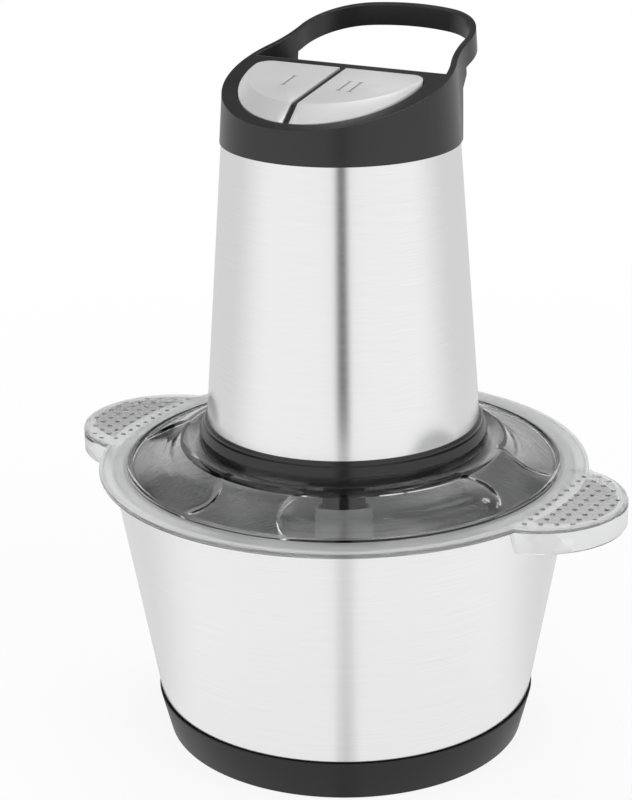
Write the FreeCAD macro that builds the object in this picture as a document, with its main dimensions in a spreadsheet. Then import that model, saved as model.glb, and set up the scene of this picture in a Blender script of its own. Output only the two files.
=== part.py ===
# Electric food chopper: steel bowl, clear lid, motor head with planetary gearing
# Millimetres, +Z up, the front of the machine is -Y, the origin is under the foot's centre.
import FreeCAD, Part
import math
import os
import Sketcher
from FreeCAD import Placement, Rotation, Vector

os.makedirs("parts", exist_ok=True)
doc = FreeCAD.newDocument("food_chopper")

# Driving dimensions
SIZES = {
    # clearances used all over
    "running_play": 0.05,
    "press_play": 0.02,
    "fit_gap": 0.3,
    "overshoot": 1.0,
    # foot ring under the bowl
    "foot_height": 18.4,
    "foot_draw_in": 1.5,
    "foot_spread": 3.1,
    "foot_pad": 6.0,
    "foot_hole_radius": 58.0,
    # steel bowl
    "bowl_base_radius": 79.3,
    "bowl_mouth_radius": 98.8,
    "bowl_height": 113.8,
    "bowl_wall": 0.8,
    "bowl_corner": 12.0,
    "rim_bead": 1.2,
    "rim_height": 2.4,
    # spindle that the blades turn on
    "spindle_radius": 4.0,
    "spindle_height": 36.0,
    "spindle_tip": 1.5,
    "spindle_base_radius": 17.0,
    "spindle_base_height": 3.0,
    # blade stem and blades
    "stem_radius": 10.5,
    "stem_neck_radius": 9.0,
    "stem_chamfer": 2.0,
    "stem_flange_radius": 14.0,
    "stem_flange_height": 5.0,
    "stem_clearance": 9.6,
    "hex_across_flats": 12.0,
    "hex_play": 0.25,
    "hex_end_play": 0.6,
    "blade_clearance": 7.3,
    "upper_blade_step": 6.0,
    "blade_width": 18.0,
    "blade_thickness": 1.8,
    "blade_hub_radius": 16.0,
    "blade_spacing": 42.0,
    "spacer_wall": 2.6,
    "blade_nut_wall": 4.0,
    "blade_nut_height": 5.0,
    # clear lid
    "lid_overhang": 4.7,
    "lid_flange": 1.9,
    "lid_wall": 2.4,
    "lid_skirt_play": 3.8,
    "lid_skirt_length": 8.0,
    "lid_dome_step": 2.7,
    "lid_dome_foot": 1.5,
    "lid_crease_share": 0.525,
    "lid_crease_rise": 8.3,
    "lid_plateau_share": 0.213,
    "lid_plateau_rise": 10.7,
    "lid_seat_depth": 2.0,
    "lid_seat_play": 0.5,
    "lid_hole_radius": 17.0,
    "lid_collar_length": 8.0,
    "scoop_share": 0.623,
    "scoop_drop": 5.6,
    "scoop_angle": 61.0,
    "scoop_angle_under": 65.0,
    "lug_overhang": 23.8,
    "lug_radius": 37.5,
    "lug_wall": 2.0,
    "lug_depth": 10.2,
    "lug_bite": 1.2,
    "lug_start": 4.0,
    "seal_proud": 2.2,
    "seal_height": 4.0,
    "seal_place": 2.0,
    "seal_groove": 0.8,
    # base of the motor head
    "base_bulge": 3.0,
    "base_edge": 0.6,
    "base_floor": 3.0,
    "base_hub_radius": 14.4,
    "base_hub_length": 8.0,
    "base_hub_wall": 2.8,
    "base_step_height": 5.0,
    "base_step_wall": 2.4,
    "base_step_play": 0.6,
    "gland_radius": 4.2,
    "gland_head_room": 0.2,
    "gland_margin": 1.3,
    "gland_flange": 2.0,
    "gland_length": 3.6,
    "gland_taper": 0.5,
    "gland_neck_radius": 3.75,
    "gland_bore": 3.2,
    "gland_bore_depth": 2.4,
    # steel shell
    "shell_bottom_radius": 58.0,
    "shell_top_radius": 49.0,
    "shell_height": 119.0,
    "shell_wall": 0.8,
    # top cover and handle
    "cover_step": 0.6,
    "cover_draft": 0.07,
    "cover_wall": 3.0,
    "cover_skirt": 5.0,
    "cover_skirt_play": 0.4,
    "cover_skirt_wall": 1.8,
    "deck_height": 27.4,
    "deck_slope": 0.283,
    "deck_thickness": 3.0,
    "handle_reach": 18.0,
    "handle_corner_radius": 30.0,
    "handle_corner_x": 12.8,
    "handle_corner_y": 36.1,
    "handle_waist_radius": 51.0,
    "handle_wall": 2.6,
    "handle_depth": 9.0,
    "band_start": 20.0,
    "leg_end": 31.6,
    "leg_flare_start": 20.0,
    "leg_flare_slope": 0.44,
    "ridge_place": 4.6,
    "ridge_width": 2.5,
    "recess_floor": 11.0,
    "recess_fall": 4.9,
    "back_lip": 16.0,
    # screws
    "screw_radius": 1.5,
    "screw_play": 0.1,
    "screw_head_radius": 2.9,
    "screw_head_height": 1.6,
    "screw_sink": 0.2,
    "screw_end_gap": 0.5,
    "screw_column_place": 2.2,
    "screw_column_radius": 4.0,
    "plate_screw_radius": 1.25,
    "plate_screw_head_radius": 2.4,
    "plate_screw_grip": 3.0,
    "plate_boss_radius": 2.6,
    "front_screw_margin": 7.0,
    "front_screw_y": -8.0,
    "back_screw_x_share": 0.726,
    "back_screw_y_share": 0.484,
    # gearing
    "case_clearance": 13.0,
    "case_wall": 3.2,
    "case_inner_play": 2.0,
    "ring_wall": 4.0,
    "gear_rise": 5.0,
    "gear_width": 10.0,
    "gear_head_room": 2.2,
    "gear_floor_play": 0.4,
    "gear_backlash": 0.16,
    "shaft_radius": 4.0,
    "carrier_rise": 1.0,
    "carrier_edge": 8.5,
    "carrier_thickness": 3.2,
    "carrier_boss_radius": 9.0,
    "carrier_boss_rise": 0.5,
    "socket_depth": 8.8,
    "planet_pin_radius": 2.5,
    "planet_pin_proud": 1.4,
    "planet_seat_radius": 4.4,
    "clip_width": 2.0,
    "clip_height": 0.8,
    "bush_flange": 2.0,
    "bush_flange_height": 0.8,
    "gearbox_cover": 3.0,
    # motor
    "bearing_radius": 11.0,
    "bearing_width": 7.0,
    "bearing_wall": 3.2,
    "bearing_rise": 0.8,
    "bearing_lip": 1.5,
    "shaft_hole_play": 2.0,
    "fan_rise": 1.4,
    "fan_radius": 34.5,
    "fan_height": 7.0,
    "fan_disc": 1.4,
    "fan_hub_radius": 9.0,
    "fan_to_stator": 8.2,
    "stator_gap": 3.0,
    "stator_depth": 66.0,
    "side_slot_reach": 29.0,
    "side_slot_width": 12.0,
    "armature_radius": 22.7,
    "armature_gap": 0.6,
    "core_slot_width": 2.6,
    "core_slot_depth": 9.0,
    "winding_margin": 3.0,
    "winding_round": 2.0,
    "winding_bore_play": 1.5,
    "end_turn": 6.0,
    "coil_gap": 2.3,
    "coil_depth": 9.0,
    "coil_play": 0.4,
    "coil_start": 11.0,
    "pole_margin": 1.0,
    "commutator_radius": 11.0,
    "commutator_length": 14.0,
    "commutator_lead": 10.0,
    "commutator_end_gap": 2.0,
    "segment_gap": 0.8,
    "segment_depth": 1.2,
    "bracket_thickness": 3.0,
    "bracket_drop": 24.0,
    "bracket_end": 5.0,
    "bracket_width": 26.0,
    "pillar_place": 26.0,
    "pillar_radius": 4.0,
    "motor_bolt_margin": 6.5,
    "motor_bolt_radius": 2.0,
    "motor_bolt_rim": 1.8,
    "motor_bolt_head": 3.0,
    "spacer_rim": 2.0,
    "shaft_end_gap": 0.6,
    "shaft_proud": 0.8,
    "brush_height": 8.0,
    "brush_width": 6.0,
    "brush_reach": 26.0,
    "brush_play": 0.1,
    "holder_wall": 1.5,
    "holder_gap": 2.0,
    "holder_reach": 34.0,
    "holder_cap": 2.0,
    "holder_tab": 12.0,
    # buttons
    "button_rim": 10.3,
    "button_rise": 1.0,
    "button_centre": -4.0,
    "button_back": 2.4,
    "button_split": 3.0,
    "button_top_slope": 0.184,
    "button_play": 0.5,
    "button_skirt": 5.0,
    "button_wall": 2.2,
    "button_top_wall": 2.6,
    "button_room_margin": 8.3,
    "button_room_centre": -2.0,
    "button_bevel_height": 4.6,
    "button_bevel_width": 9.0,
    "button_bevel_edge": 1.5,
    "button_lip_width": 1.6,
    "button_lip_margin": 6.3,
    "button_lip_start": -28.0,
    "button_travel": 2.5,
    "button_corner": 7.0,
    # switches and springs
    "plate_rise": 1.0,
    "plate_thickness": 3.0,
    "plate_play": 0.9,
    "spring_radius": 4.0,
    "spring_wire": 0.6,
    "spring_length": 8.2,
    "spring_rim": 1.0,
    "spring_x": 16.0,
    "spring_y": -26.0,
    "switch_y": -14.0,
    "switch_length": 12.8,
    "switch_width": 6.4,
    "switch_height": 6.5,
    "switch_key_width": 2.8,
    "switch_key_height": 2.1,
    "switch_gap": 0.2,
    "switch_post_radius": 2.5,
}

# Tooth counts of the planetary set: the ring stands still, the carrier drives the blades
SUN_TEETH = 12
PLANET_TEETH = 18
RING_TEETH = SUN_TEETH + 2 * PLANET_TEETH
PLANETS = 3
SCOOPS = 4
CORE_SLOTS = 12
FAN_BLADES = 11
SPRING_TURNS = 4
LOWER_BLADE_HEADING = 25
UPPER_BLADE_HEADING = 115
SCREW_ANGLES = (45, 135, 225, 315)

sheet = doc.addObject("Spreadsheet::Sheet", "Sizes")


def write_cell(row, name, text):
    sheet.set(f"A{row}", name)
    sheet.set(f"B{row}", text)
    sheet.setAlias(f"B{row}", name)


for row, (size_name, size_value) in enumerate(SIZES.items(), 1):
    write_cell(row, size_name, str(size_value))
doc.recompute()


class Size:
    """A size that knows its number and the expression that ties it to the sheet."""

    def __init__(self, value, text):
        self.value = float(value)
        self.text = text

    def __add__(self, other):
        other = as_size(other)
        return Size(self.value + other.value, f"({self.text} + {other.text})")

    def __sub__(self, other):
        other = as_size(other)
        return Size(self.value - other.value, f"({self.text} - {other.text})")

    def __mul__(self, other):
        other = as_size(other)
        return Size(self.value * other.value, f"({self.text} * {other.text})")

    def __truediv__(self, other):
        other = as_size(other)
        return Size(self.value / other.value, f"({self.text} / {other.text})")

    def __radd__(self, other):
        return as_size(other) + self

    def __rsub__(self, other):
        return as_size(other) - self

    def __rmul__(self, other):
        return as_size(other) * self

    def __neg__(self):
        return as_size(-1) * self


def as_size(thing):
    if isinstance(thing, Size):
        return thing
    return Size(thing, f"({float(thing)!r})")


def root(size):
    return Size(math.sqrt(size.value), f"sqrt({size.text})")


def slope_angle(slope):
    """The angle in degrees of a rise per unit of run."""
    return Size(math.degrees(math.atan(slope.value)), f"atan({slope.text})")


class Sheet:
    """Reads one named cell as a Size."""

    def __getattr__(self, name):
        return Size(SIZES[name], f"Sizes.{name}")


S = Sheet()
WORKED_OUT = []


def worked_out(name, size):
    """Adds a cell that follows from others, and gives it back as a Size."""
    WORKED_OUT.append(name)
    write_cell(len(SIZES) + len(WORKED_OUT), name, "=" + size.text.replace("Sizes.", ""))
    return Size(size.value, f"Sizes.{name}")


def bind(thing, place, size):
    """Ties one property of an object to the sheet."""
    thing.setExpression(place, as_size(size).text)


# Part primitives with their sizes and places bound
def cylinder(name, radius, bottom, top, x=0, y=0):
    made = doc.addObject("Part::Cylinder", name)
    bind(made, "Radius", radius)
    bind(made, "Height", as_size(top) - bottom)
    bind(made, "Placement.Base.x", x)
    bind(made, "Placement.Base.y", y)
    bind(made, "Placement.Base.z", bottom)
    return made


def box(name, x_range, y_range, z_range):
    made = doc.addObject("Part::Box", name)
    ends = (("Length", "x", x_range), ("Width", "y", y_range), ("Height", "z", z_range))
    for side, axis, (low, high) in ends:
        bind(made, side, as_size(high) - low)
        bind(made, f"Placement.Base.{axis}", low)
    return made


def cut(name, base, *tools):
    tool = tools[0] if len(tools) == 1 else fuse(name + "_tools", *tools)
    made = doc.addObject("Part::Cut", name)
    made.Base = base
    made.Tool = tool
    return made


def fuse(name, *shapes):
    made = doc.addObject("Part::MultiFuse", name)
    made.Shapes = list(shapes)
    return made


def common(name, *shapes):
    made = doc.addObject("Part::MultiCommon", name)
    made.Shapes = list(shapes)
    return made


def group(name, *shapes):
    made = doc.addObject("Part::Compound", name)
    made.Links = list(shapes)
    return made


def tube(name, outer, inner, bottom, top, x=0, y=0):
    return cut(
        name,
        cylinder(name + "_outside", outer, bottom, top, x, y),
        cylinder(name + "_inside", inner, bottom, top, x, y),
    )


# Sketches and bodies
def origin_plane(body, role):
    for feature in body.Origin.OriginFeatures:
        if feature.Role == role:
            return feature
    raise ValueError(role)


def draw(body, name, role, points, height=0):
    """A closed outline. A point is (x, y), or (x, y, radius, side) to reach it by an arc
    whose centre lies left (side 1) or right (side -1) of the way there."""
    sketch = body.newObject("Sketcher::SketchObject", name)
    sketch.AttachmentSupport = [(origin_plane(body, role), "")]
    sketch.MapMode = "FlatFace"
    bind(sketch, "AttachmentOffset.Base.z", height)
    count = len(points)
    places = [Vector(as_size(point[0]).value, as_size(point[1]).value, 0) for point in points]
    ends = []
    for index in range(count):
        point = points[index]
        start, end = places[index - 1], places[index]
        if len(point) == 2:
            sketch.addGeometry(Part.LineSegment(start, end), False)
            ends.append((1, 2))
            continue
        radius, side = as_size(point[2]), point[3]
        chord = end - start
        left = Vector(-chord.y, chord.x, 0) / chord.Length
        rise = math.sqrt(max(0.0, radius.value ** 2 - chord.Length ** 2 / 4))
        centre = (start + end) / 2 + left * rise * side
        first, last = (start, end) if side > 0 else (end, start)
        turn_first = math.atan2(first.y - centre.y, first.x - centre.x)
        turn_last = math.atan2(last.y - centre.y, last.x - centre.x)
        circle = Part.Circle(centre, Vector(0, 0, 1), radius.value)
        sketch.addGeometry(Part.ArcOfCircle(circle, turn_first, turn_last), False)
        ends.append((1, 2) if side > 0 else (2, 1))
        constraint = sketch.addConstraint(Sketcher.Constraint("Radius", index, radius.value))
        sketch.setExpression(f"Constraints[{constraint}]", radius.text)
    for index in range(count):
        following = (index + 1) % count
        sketch.addConstraint(
            Sketcher.Constraint("Coincident", index, ends[index][1], following, ends[following][0])
        )
    for index in range(count):
        for kind, size, axis in (("DistanceX", points[index][0], -2), ("DistanceY", points[index][1], -1)):
            size = as_size(size)
            end = ends[index][1]
            if abs(size.value) < 1e-9:
                sketch.addConstraint(Sketcher.Constraint("PointOnObject", index, end, axis))
                continue
            constraint = sketch.addConstraint(Sketcher.Constraint(kind, -1, 1, index, end, size.value))
            sketch.setExpression(f"Constraints[{constraint}]", size.text)
    return sketch


def draw_circle(body, name, radius, height=0, x=0, y=0):
    sketch = body.newObject("Sketcher::SketchObject", name)
    sketch.AttachmentSupport = [(origin_plane(body, "XY_Plane"), "")]
    sketch.MapMode = "FlatFace"
    bind(sketch, "AttachmentOffset.Base.z", height)
    bind(sketch, "AttachmentOffset.Base.x", x)
    bind(sketch, "AttachmentOffset.Base.y", y)
    radius = as_size(radius)
    sketch.addGeometry(Part.Circle(Vector(0, 0, 0), Vector(0, 0, 1), radius.value), False)
    sketch.addConstraint(Sketcher.Constraint("Coincident", 0, 3, -1, 1))
    sketch.addConstraint(Sketcher.Constraint("Radius", 0, radius.value))
    sketch.setExpression("Constraints[1]", radius.text)
    return sketch


def new_body(name):
    return doc.addObject("PartDesign::Body", name)


def pad(body, name, sketch, length, both_ways=False):
    feature = body.newObject("PartDesign::Pad", name)
    feature.Profile = sketch
    bind(feature, "Length", length)
    feature.Midplane = both_ways
    return feature


def pocket(body, name, sketch, length, both_ways=False, reverse=False):
    feature = body.newObject("PartDesign::Pocket", name)
    feature.Profile = sketch
    bind(feature, "Length", length)
    feature.Midplane = both_ways
    feature.Reversed = reverse
    return feature


def polar(body, name, feature, copies):
    pattern = body.newObject("PartDesign::PolarPattern", name)
    pattern.Originals = [feature]
    pattern.Axis = (origin_axis(body, "Z_Axis"), [""])
    pattern.Angle = 360
    pattern.Occurrences = copies
    body.Tip = pattern
    return pattern


def origin_axis(body, role):
    return origin_plane(body, role)


def turned(name, points, angle=360, start=0):
    """A body turned about Z from an outline of (radius, height) points."""
    body = new_body(name)
    sketch = draw(body, name + "_outline", "XZ_Plane", points)
    feature = body.newObject("PartDesign::Revolution", name + "_turn")
    feature.Profile = sketch
    feature.ReferenceAxis = (sketch, ["V_Axis"])
    bind(feature, "Angle", angle)
    feature.Midplane = as_size(angle).value != 360
    if start:
        body.Placement = Placement(Vector(0, 0, 0), Rotation(Vector(0, 0, 1), start))
    return body


def prism(name, role, points, length, height=0, both_ways=False):
    body = new_body(name)
    pad(body, name + "_pad", draw(body, name + "_outline", role, points, height), length, both_ways)
    return body


def side_prism(name, points, width):
    """A bar across the machine whose (y, z) outline is seen from the side."""
    return prism(name, "YZ_Plane", points, width, both_ways=True)


NODES = {}


def node(name, thing):
    """Registers a finished sub-part under the name of its file."""
    thing.Label = name
    NODES[name] = thing
    return thing


# Levels, from the table up
OVER = S.overshoot
Z_BOWL = S.foot_pad
Z_MOUTH = worked_out("z_mouth", Z_BOWL + S.bowl_height)
Z_LID = worked_out("z_lid", Z_MOUTH + S.lid_flange)
Z_CREASE = worked_out("z_crease", Z_LID + S.lid_crease_rise)
Z_PLATEAU = worked_out("z_plateau", Z_LID + S.lid_plateau_rise)
Z_HEAD = worked_out("z_head", Z_PLATEAU - S.lid_seat_depth)
Z_BUSH = worked_out("z_bush", Z_HEAD - S.base_hub_length)
Z_FLOOR = worked_out("z_floor", Z_HEAD + S.base_floor)
Z_SHELL = worked_out("z_shell", Z_FLOOR + 2 * S.gland_radius + S.gland_head_room)
Z_COVER = worked_out("z_cover", Z_SHELL + S.shell_height)
Z_DECK = worked_out("z_deck", Z_COVER + S.deck_height)

# Radii that belong together
LID_SKIRT = worked_out("lid_skirt_radius", S.bowl_mouth_radius - S.bowl_wall - S.lid_skirt_play)
LID_DOME = worked_out("lid_dome_radius", LID_SKIRT - S.lid_dome_step)
LID_RADIUS = worked_out("lid_radius", S.bowl_mouth_radius + S.rim_bead + S.lid_overhang)
BASE_RADIUS = worked_out("base_radius", S.shell_bottom_radius + S.base_bulge)
DOME_RUN = worked_out("dome_run", LID_DOME - BASE_RADIUS)
LID_CREASE = worked_out("lid_crease_radius", BASE_RADIUS + DOME_RUN * S.lid_crease_share)
LID_PLATEAU = worked_out("lid_plateau_radius", BASE_RADIUS + DOME_RUN * S.lid_plateau_share)
COVER_RADIUS = worked_out("cover_radius", S.shell_top_radius + S.cover_step)
BUTTON_RADIUS = worked_out("button_radius", COVER_RADIUS - S.button_rim)
CASE_RADIUS = worked_out("case_radius", S.shell_bottom_radius - S.case_clearance)
RING_RADIUS = worked_out("ring_radius", CASE_RADIUS - S.case_wall)
STATOR_RADIUS = worked_out("stator_radius", S.shell_top_radius - S.stator_gap)
BOLT_PLACE = worked_out("bolt_place", STATOR_RADIUS - S.motor_bolt_margin)
WIDE = 2 * COVER_RADIUS
HIGH = Z_DECK + COVER_RADIUS


# Foot, bowl and spindle
def bowl_outline(grow):
    """Outside of the bowl, grown by a clearance on its curved wall."""
    return [
        (0, Z_BOWL),
        (S.bowl_base_radius + grow, Z_BOWL),
        (S.bowl_mouth_radius + grow, Z_MOUTH),
        (0, Z_MOUTH),
    ]


def round_bottom(body, name, feature, radius, level):
    """Rounds the edge of a turned body that lies at one level."""
    doc.recompute()
    for index, edge in enumerate(feature.Shape.Edges, 1):
        flat = edge.BoundBox.ZLength < 1e-6 and abs(edge.BoundBox.ZMin - level.value) < 1e-6
        if flat and isinstance(edge.Curve, Part.Circle):
            fillet = body.newObject("PartDesign::Fillet", name)
            fillet.Base = (feature, [f"Edge{index}"])
            bind(fillet, "Radius", radius)
            return fillet
    raise ValueError(name)


def top_face(feature, level):
    for index, face in enumerate(feature.Shape.Faces, 1):
        if face.BoundBox.ZLength < 1e-6 and abs(face.BoundBox.ZMin - level.value) < 1e-6:
            return f"Face{index}"
    raise ValueError(feature.Name)


def bead_outline():
    inside = S.bowl_mouth_radius - S.bowl_wall / 2
    outside = S.bowl_mouth_radius + S.rim_bead
    low = Z_MOUTH - S.rim_height
    corner = S.rim_bead / 2
    return [
        (inside, low),
        (outside - corner, low),
        (outside, low + corner, corner, 1),
        (outside, Z_MOUTH - corner),
        (outside - corner, Z_MOUTH, corner, 1),
        (inside, Z_MOUTH),
    ]


bowl = turned("bowl_body", bowl_outline(0))
bowl_rounded = round_bottom(bowl, "bowl_corner_round", bowl.Tip, S.bowl_corner, Z_BOWL)
doc.recompute()
bowl_wall = bowl.newObject("PartDesign::Thickness", "bowl_wall_shell")
bowl_wall.Base = (bowl_rounded, [top_face(bowl_rounded, Z_MOUTH)])
bind(bowl_wall, "Value", S.bowl_wall)
bowl_wall.Reversed = True
bowl_bead_sketch = draw(bowl, "rim_bead_outline", "XZ_Plane", bead_outline())
bowl_bead = bowl.newObject("PartDesign::Revolution", "rim_bead_turn")
bowl_bead.Profile = bowl_bead_sketch
bowl_bead.ReferenceAxis = (bowl_bead_sketch, ["V_Axis"])
bowl_bead.Angle = 360
node("bowl", bowl)

bowl_space = turned("bowl_space", bowl_outline(S.fit_gap))
round_bottom(bowl_space, "bowl_space_round", bowl_space.Tip, S.bowl_corner, Z_BOWL)
foot_block = turned(
    "foot_block",
    [
        (S.foot_hole_radius, 0),
        (S.bowl_base_radius - S.foot_draw_in, 0),
        (S.bowl_base_radius + S.foot_spread, S.foot_height),
        (S.foot_hole_radius, S.foot_height),
    ],
)
node("foot_ring", cut("foot_ring_body", foot_block, bowl_space))

Z_INSIDE = Z_BOWL + S.bowl_wall
Z_STEM = worked_out("z_stem", Z_INSIDE + S.spindle_base_height)
Z_SPINDLE = Z_STEM + S.spindle_height
SPINDLE_BORE = S.spindle_radius + S.running_play
node("spindle_base", tube("spindle_base_disc", S.spindle_base_radius, SPINDLE_BORE, Z_INSIDE, Z_STEM))
node(
    "blade_spindle",
    turned(
        "spindle_pin",
        [
            (0, Z_INSIDE),
            (S.spindle_radius, Z_INSIDE),
            (S.spindle_radius, Z_SPINDLE - S.spindle_tip),
            (S.spindle_radius - S.spindle_tip, Z_SPINDLE, S.spindle_tip, 1),
            (0, Z_SPINDLE),
        ],
    ),
)


# Blade unit: stem, two crossed blades, spacer and nut
def hexagon(across_flats):
    half = across_flats / 2
    corner = half * (2 / math.sqrt(3))
    return [
        (corner, 0),
        (corner / 2, half),
        (-corner / 2, half),
        (-corner, 0),
        (-corner / 2, -half),
        (corner / 2, -half),
    ]


Z_BLADE = worked_out("z_blade", Z_STEM + S.stem_flange_height)
Z_SPACER = Z_BLADE + S.blade_thickness
Z_UPPER = worked_out("z_upper", Z_SPACER + S.blade_spacing)
Z_NUT = Z_UPPER + S.blade_thickness
Z_NUT_TOP = Z_NUT + S.blade_nut_height
Z_HEX = worked_out("z_hex", Z_BUSH - S.stem_clearance)
Z_SOCKET = Z_BUSH + S.screw_sink
Z_HEX_TOP = Z_SOCKET + S.socket_depth - S.hex_end_play
STEM_BORE = S.stem_radius + S.running_play
stem = turned(
    "stem_body",
    [
        (SPINDLE_BORE, Z_STEM),
        (S.stem_flange_radius, Z_STEM),
        (S.stem_flange_radius, Z_BLADE),
        (S.stem_radius, Z_BLADE),
        (S.stem_radius, Z_NUT_TOP + OVER),
        (S.stem_neck_radius, Z_HEX - S.stem_chamfer),
        (S.stem_neck_radius - S.stem_chamfer, Z_HEX),
        (0, Z_HEX),
        (0, Z_SPINDLE + OVER),
        (SPINDLE_BORE, Z_SPINDLE + OVER),
    ],
)
hex_sketch = draw(stem, "hex_outline", "XY_Plane", hexagon(S.hex_across_flats), Z_HEX)
pad(stem, "hex_end", hex_sketch, Z_HEX_TOP - Z_HEX)
node("blade_stem", stem)


def blade_outline(reach):
    """Two sabre wings, the curved cutting edge leading."""
    wide = S.blade_width * 0.55
    front = S.blade_hub_radius * 0.5
    back = S.blade_hub_radius * 0.875
    return [
        (front, -wide),
        (reach, wide, reach * 1.15, 1),
        (back, wide, reach * 0.9, -1),
        (-front, wide),
        (-reach, -wide, reach * 1.15, 1),
        (-back, -wide, reach * 0.9, -1),
    ]


def blade(name, reach, level, heading):
    top = level + S.blade_thickness
    wings = prism(name + "_wings", "XY_Plane", blade_outline(reach), S.blade_thickness, level)
    wings.Placement = Placement(Vector(0, 0, 0), Rotation(Vector(0, 0, 1), heading))
    hub = cylinder(name + "_hub", S.blade_hub_radius, level, top)
    hole = cylinder(name + "_hole", STEM_BORE, level - OVER, top + OVER)
    return node(name, cut(name + "_body", fuse(name + "_flat", wings, hub), hole))


BLADE_REACH = S.bowl_base_radius - S.blade_clearance
blade("lower_blade", BLADE_REACH, Z_BLADE, LOWER_BLADE_HEADING)
blade("upper_blade", BLADE_REACH - S.upper_blade_step, Z_UPPER, UPPER_BLADE_HEADING)
node("blade_spacer", tube("spacer_tube", S.stem_radius + S.spacer_wall, STEM_BORE, Z_SPACER, Z_UPPER))
node("blade_nut", tube("nut_ring", S.stem_radius + S.blade_nut_wall, STEM_BORE, Z_NUT, Z_NUT_TOP))

# Clear lid with its scalloped dome, two lugs, locating skirt and centre collar
INNER = LID_DOME - S.lid_wall
Z_UNDER = Z_HEAD - S.lid_wall
lid_block = turned(
    "lid_block",
    [
        (0, Z_MOUTH),
        (LID_RADIUS, Z_MOUTH),
        (LID_RADIUS, Z_LID),
        (LID_DOME + S.lid_dome_foot, Z_LID),
        (LID_DOME, Z_LID + S.lid_dome_foot / 2),
        (LID_CREASE, Z_CREASE),
        (LID_PLATEAU, Z_PLATEAU),
        (0, Z_PLATEAU),
    ],
)
lid_cavity = turned(
    "lid_cavity",
    [
        (0, Z_MOUTH - OVER),
        (INNER, Z_MOUTH - OVER),
        (INNER, Z_MOUTH + S.lid_wall / 6),
        (LID_CREASE - S.lid_wall * 0.4, Z_CREASE - S.lid_wall * 1.125),
        (LID_PLATEAU - S.lid_wall * 1.25, Z_UNDER),
        (0, Z_UNDER),
    ],
)


def scoops(name, wall, angle):
    """The four hollows between the lands; with a wall they shape the underside."""
    high = Z_PLATEAU + S.lid_wall
    outline = [
        (LID_PLATEAU - wall, Z_PLATEAU - wall * 0.8),
        (BASE_RADIUS + DOME_RUN * S.scoop_share - wall * 0.3, Z_CREASE - S.scoop_drop - wall),
        (LID_DOME + S.lid_wall / 4, Z_LID + S.lid_wall / 5 - wall),
        (LID_DOME + S.lid_wall, high),
        (LID_PLATEAU - wall, high),
    ]
    copies = []
    for index in range(SCOOPS):
        turn = 360 / SCOOPS * (index + 0.5)
        copies.append(turned(f"{name}_{index + 1}", outline, angle, turn))
    return copies


lid_outside = cut("lid_outside", lid_block, *scoops("scoop", as_size(0), S.scoop_angle))
lid_inside = cut("lid_inside", lid_cavity, *scoops("scoop_under", S.lid_wall, S.scoop_angle_under))
lid_seat = cylinder("lid_seat", BASE_RADIUS + S.lid_seat_play, Z_HEAD, Z_PLATEAU + OVER)
lid_hole = cylinder("lid_hole", S.lid_hole_radius, Z_MOUTH, Z_PLATEAU + OVER)
lid_shell = cut("lid_shell", lid_outside, lid_inside, lid_seat, lid_hole)


def lug(name, side):
    centre = (LID_RADIUS + S.lug_overhang - S.lug_radius) * side
    low = Z_LID - S.lug_depth
    block = cylinder(name + "_block", S.lug_radius, low, Z_LID, centre)
    hollow = cylinder(name + "_hollow", S.lug_radius - S.lug_wall, low - OVER, Z_MOUTH, centre)
    inside = cylinder(name + "_inside", LID_RADIUS - S.lug_bite, low - OVER, Z_MOUTH)
    centre_part = cylinder(name + "_centre", LID_DOME + S.lug_start, low - OVER, Z_LID + OVER)
    return cut(name, block, hollow, inside, centre_part)


SKIRT_INNER = LID_SKIRT - S.lid_wall
Z_SEAL_TOP = Z_MOUTH - S.seal_place
Z_SEAL = Z_SEAL_TOP - S.seal_height
lid_skirt = turned(
    "lid_skirt",
    [
        (SKIRT_INNER, Z_MOUTH - S.lid_skirt_length),
        (LID_SKIRT, Z_MOUTH - S.lid_skirt_length),
        (LID_SKIRT, Z_SEAL),
        (LID_SKIRT - S.seal_groove, Z_SEAL),
        (LID_SKIRT - S.seal_groove, Z_SEAL_TOP),
        (LID_SKIRT, Z_SEAL_TOP),
        (LID_SKIRT, Z_MOUTH + S.lid_flange / 4),
        (SKIRT_INNER, Z_MOUTH + S.lid_flange / 4),
    ],
)
lid_collar = tube(
    "lid_collar",
    S.lid_hole_radius + S.lid_wall,
    S.lid_hole_radius,
    Z_UNDER - S.lid_collar_length,
    Z_HEAD - S.lid_wall / 5,
)
lid_joint = tube("lid_joint", LID_SKIRT, INNER - S.lid_wall / 5, Z_MOUTH, Z_LID)
lugs = [lug("lug_right", 1), lug("lug_left", -1)]
node("lid", fuse("lid_body", lid_shell, *lugs, lid_skirt, lid_collar, lid_joint))
node(
    "lid_seal",
    tube(
        "seal_ring",
        LID_SKIRT + S.seal_proud,
        LID_SKIRT - S.seal_groove + S.running_play,
        Z_SEAL,
        Z_SEAL_TOP,
    ),
)

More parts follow.
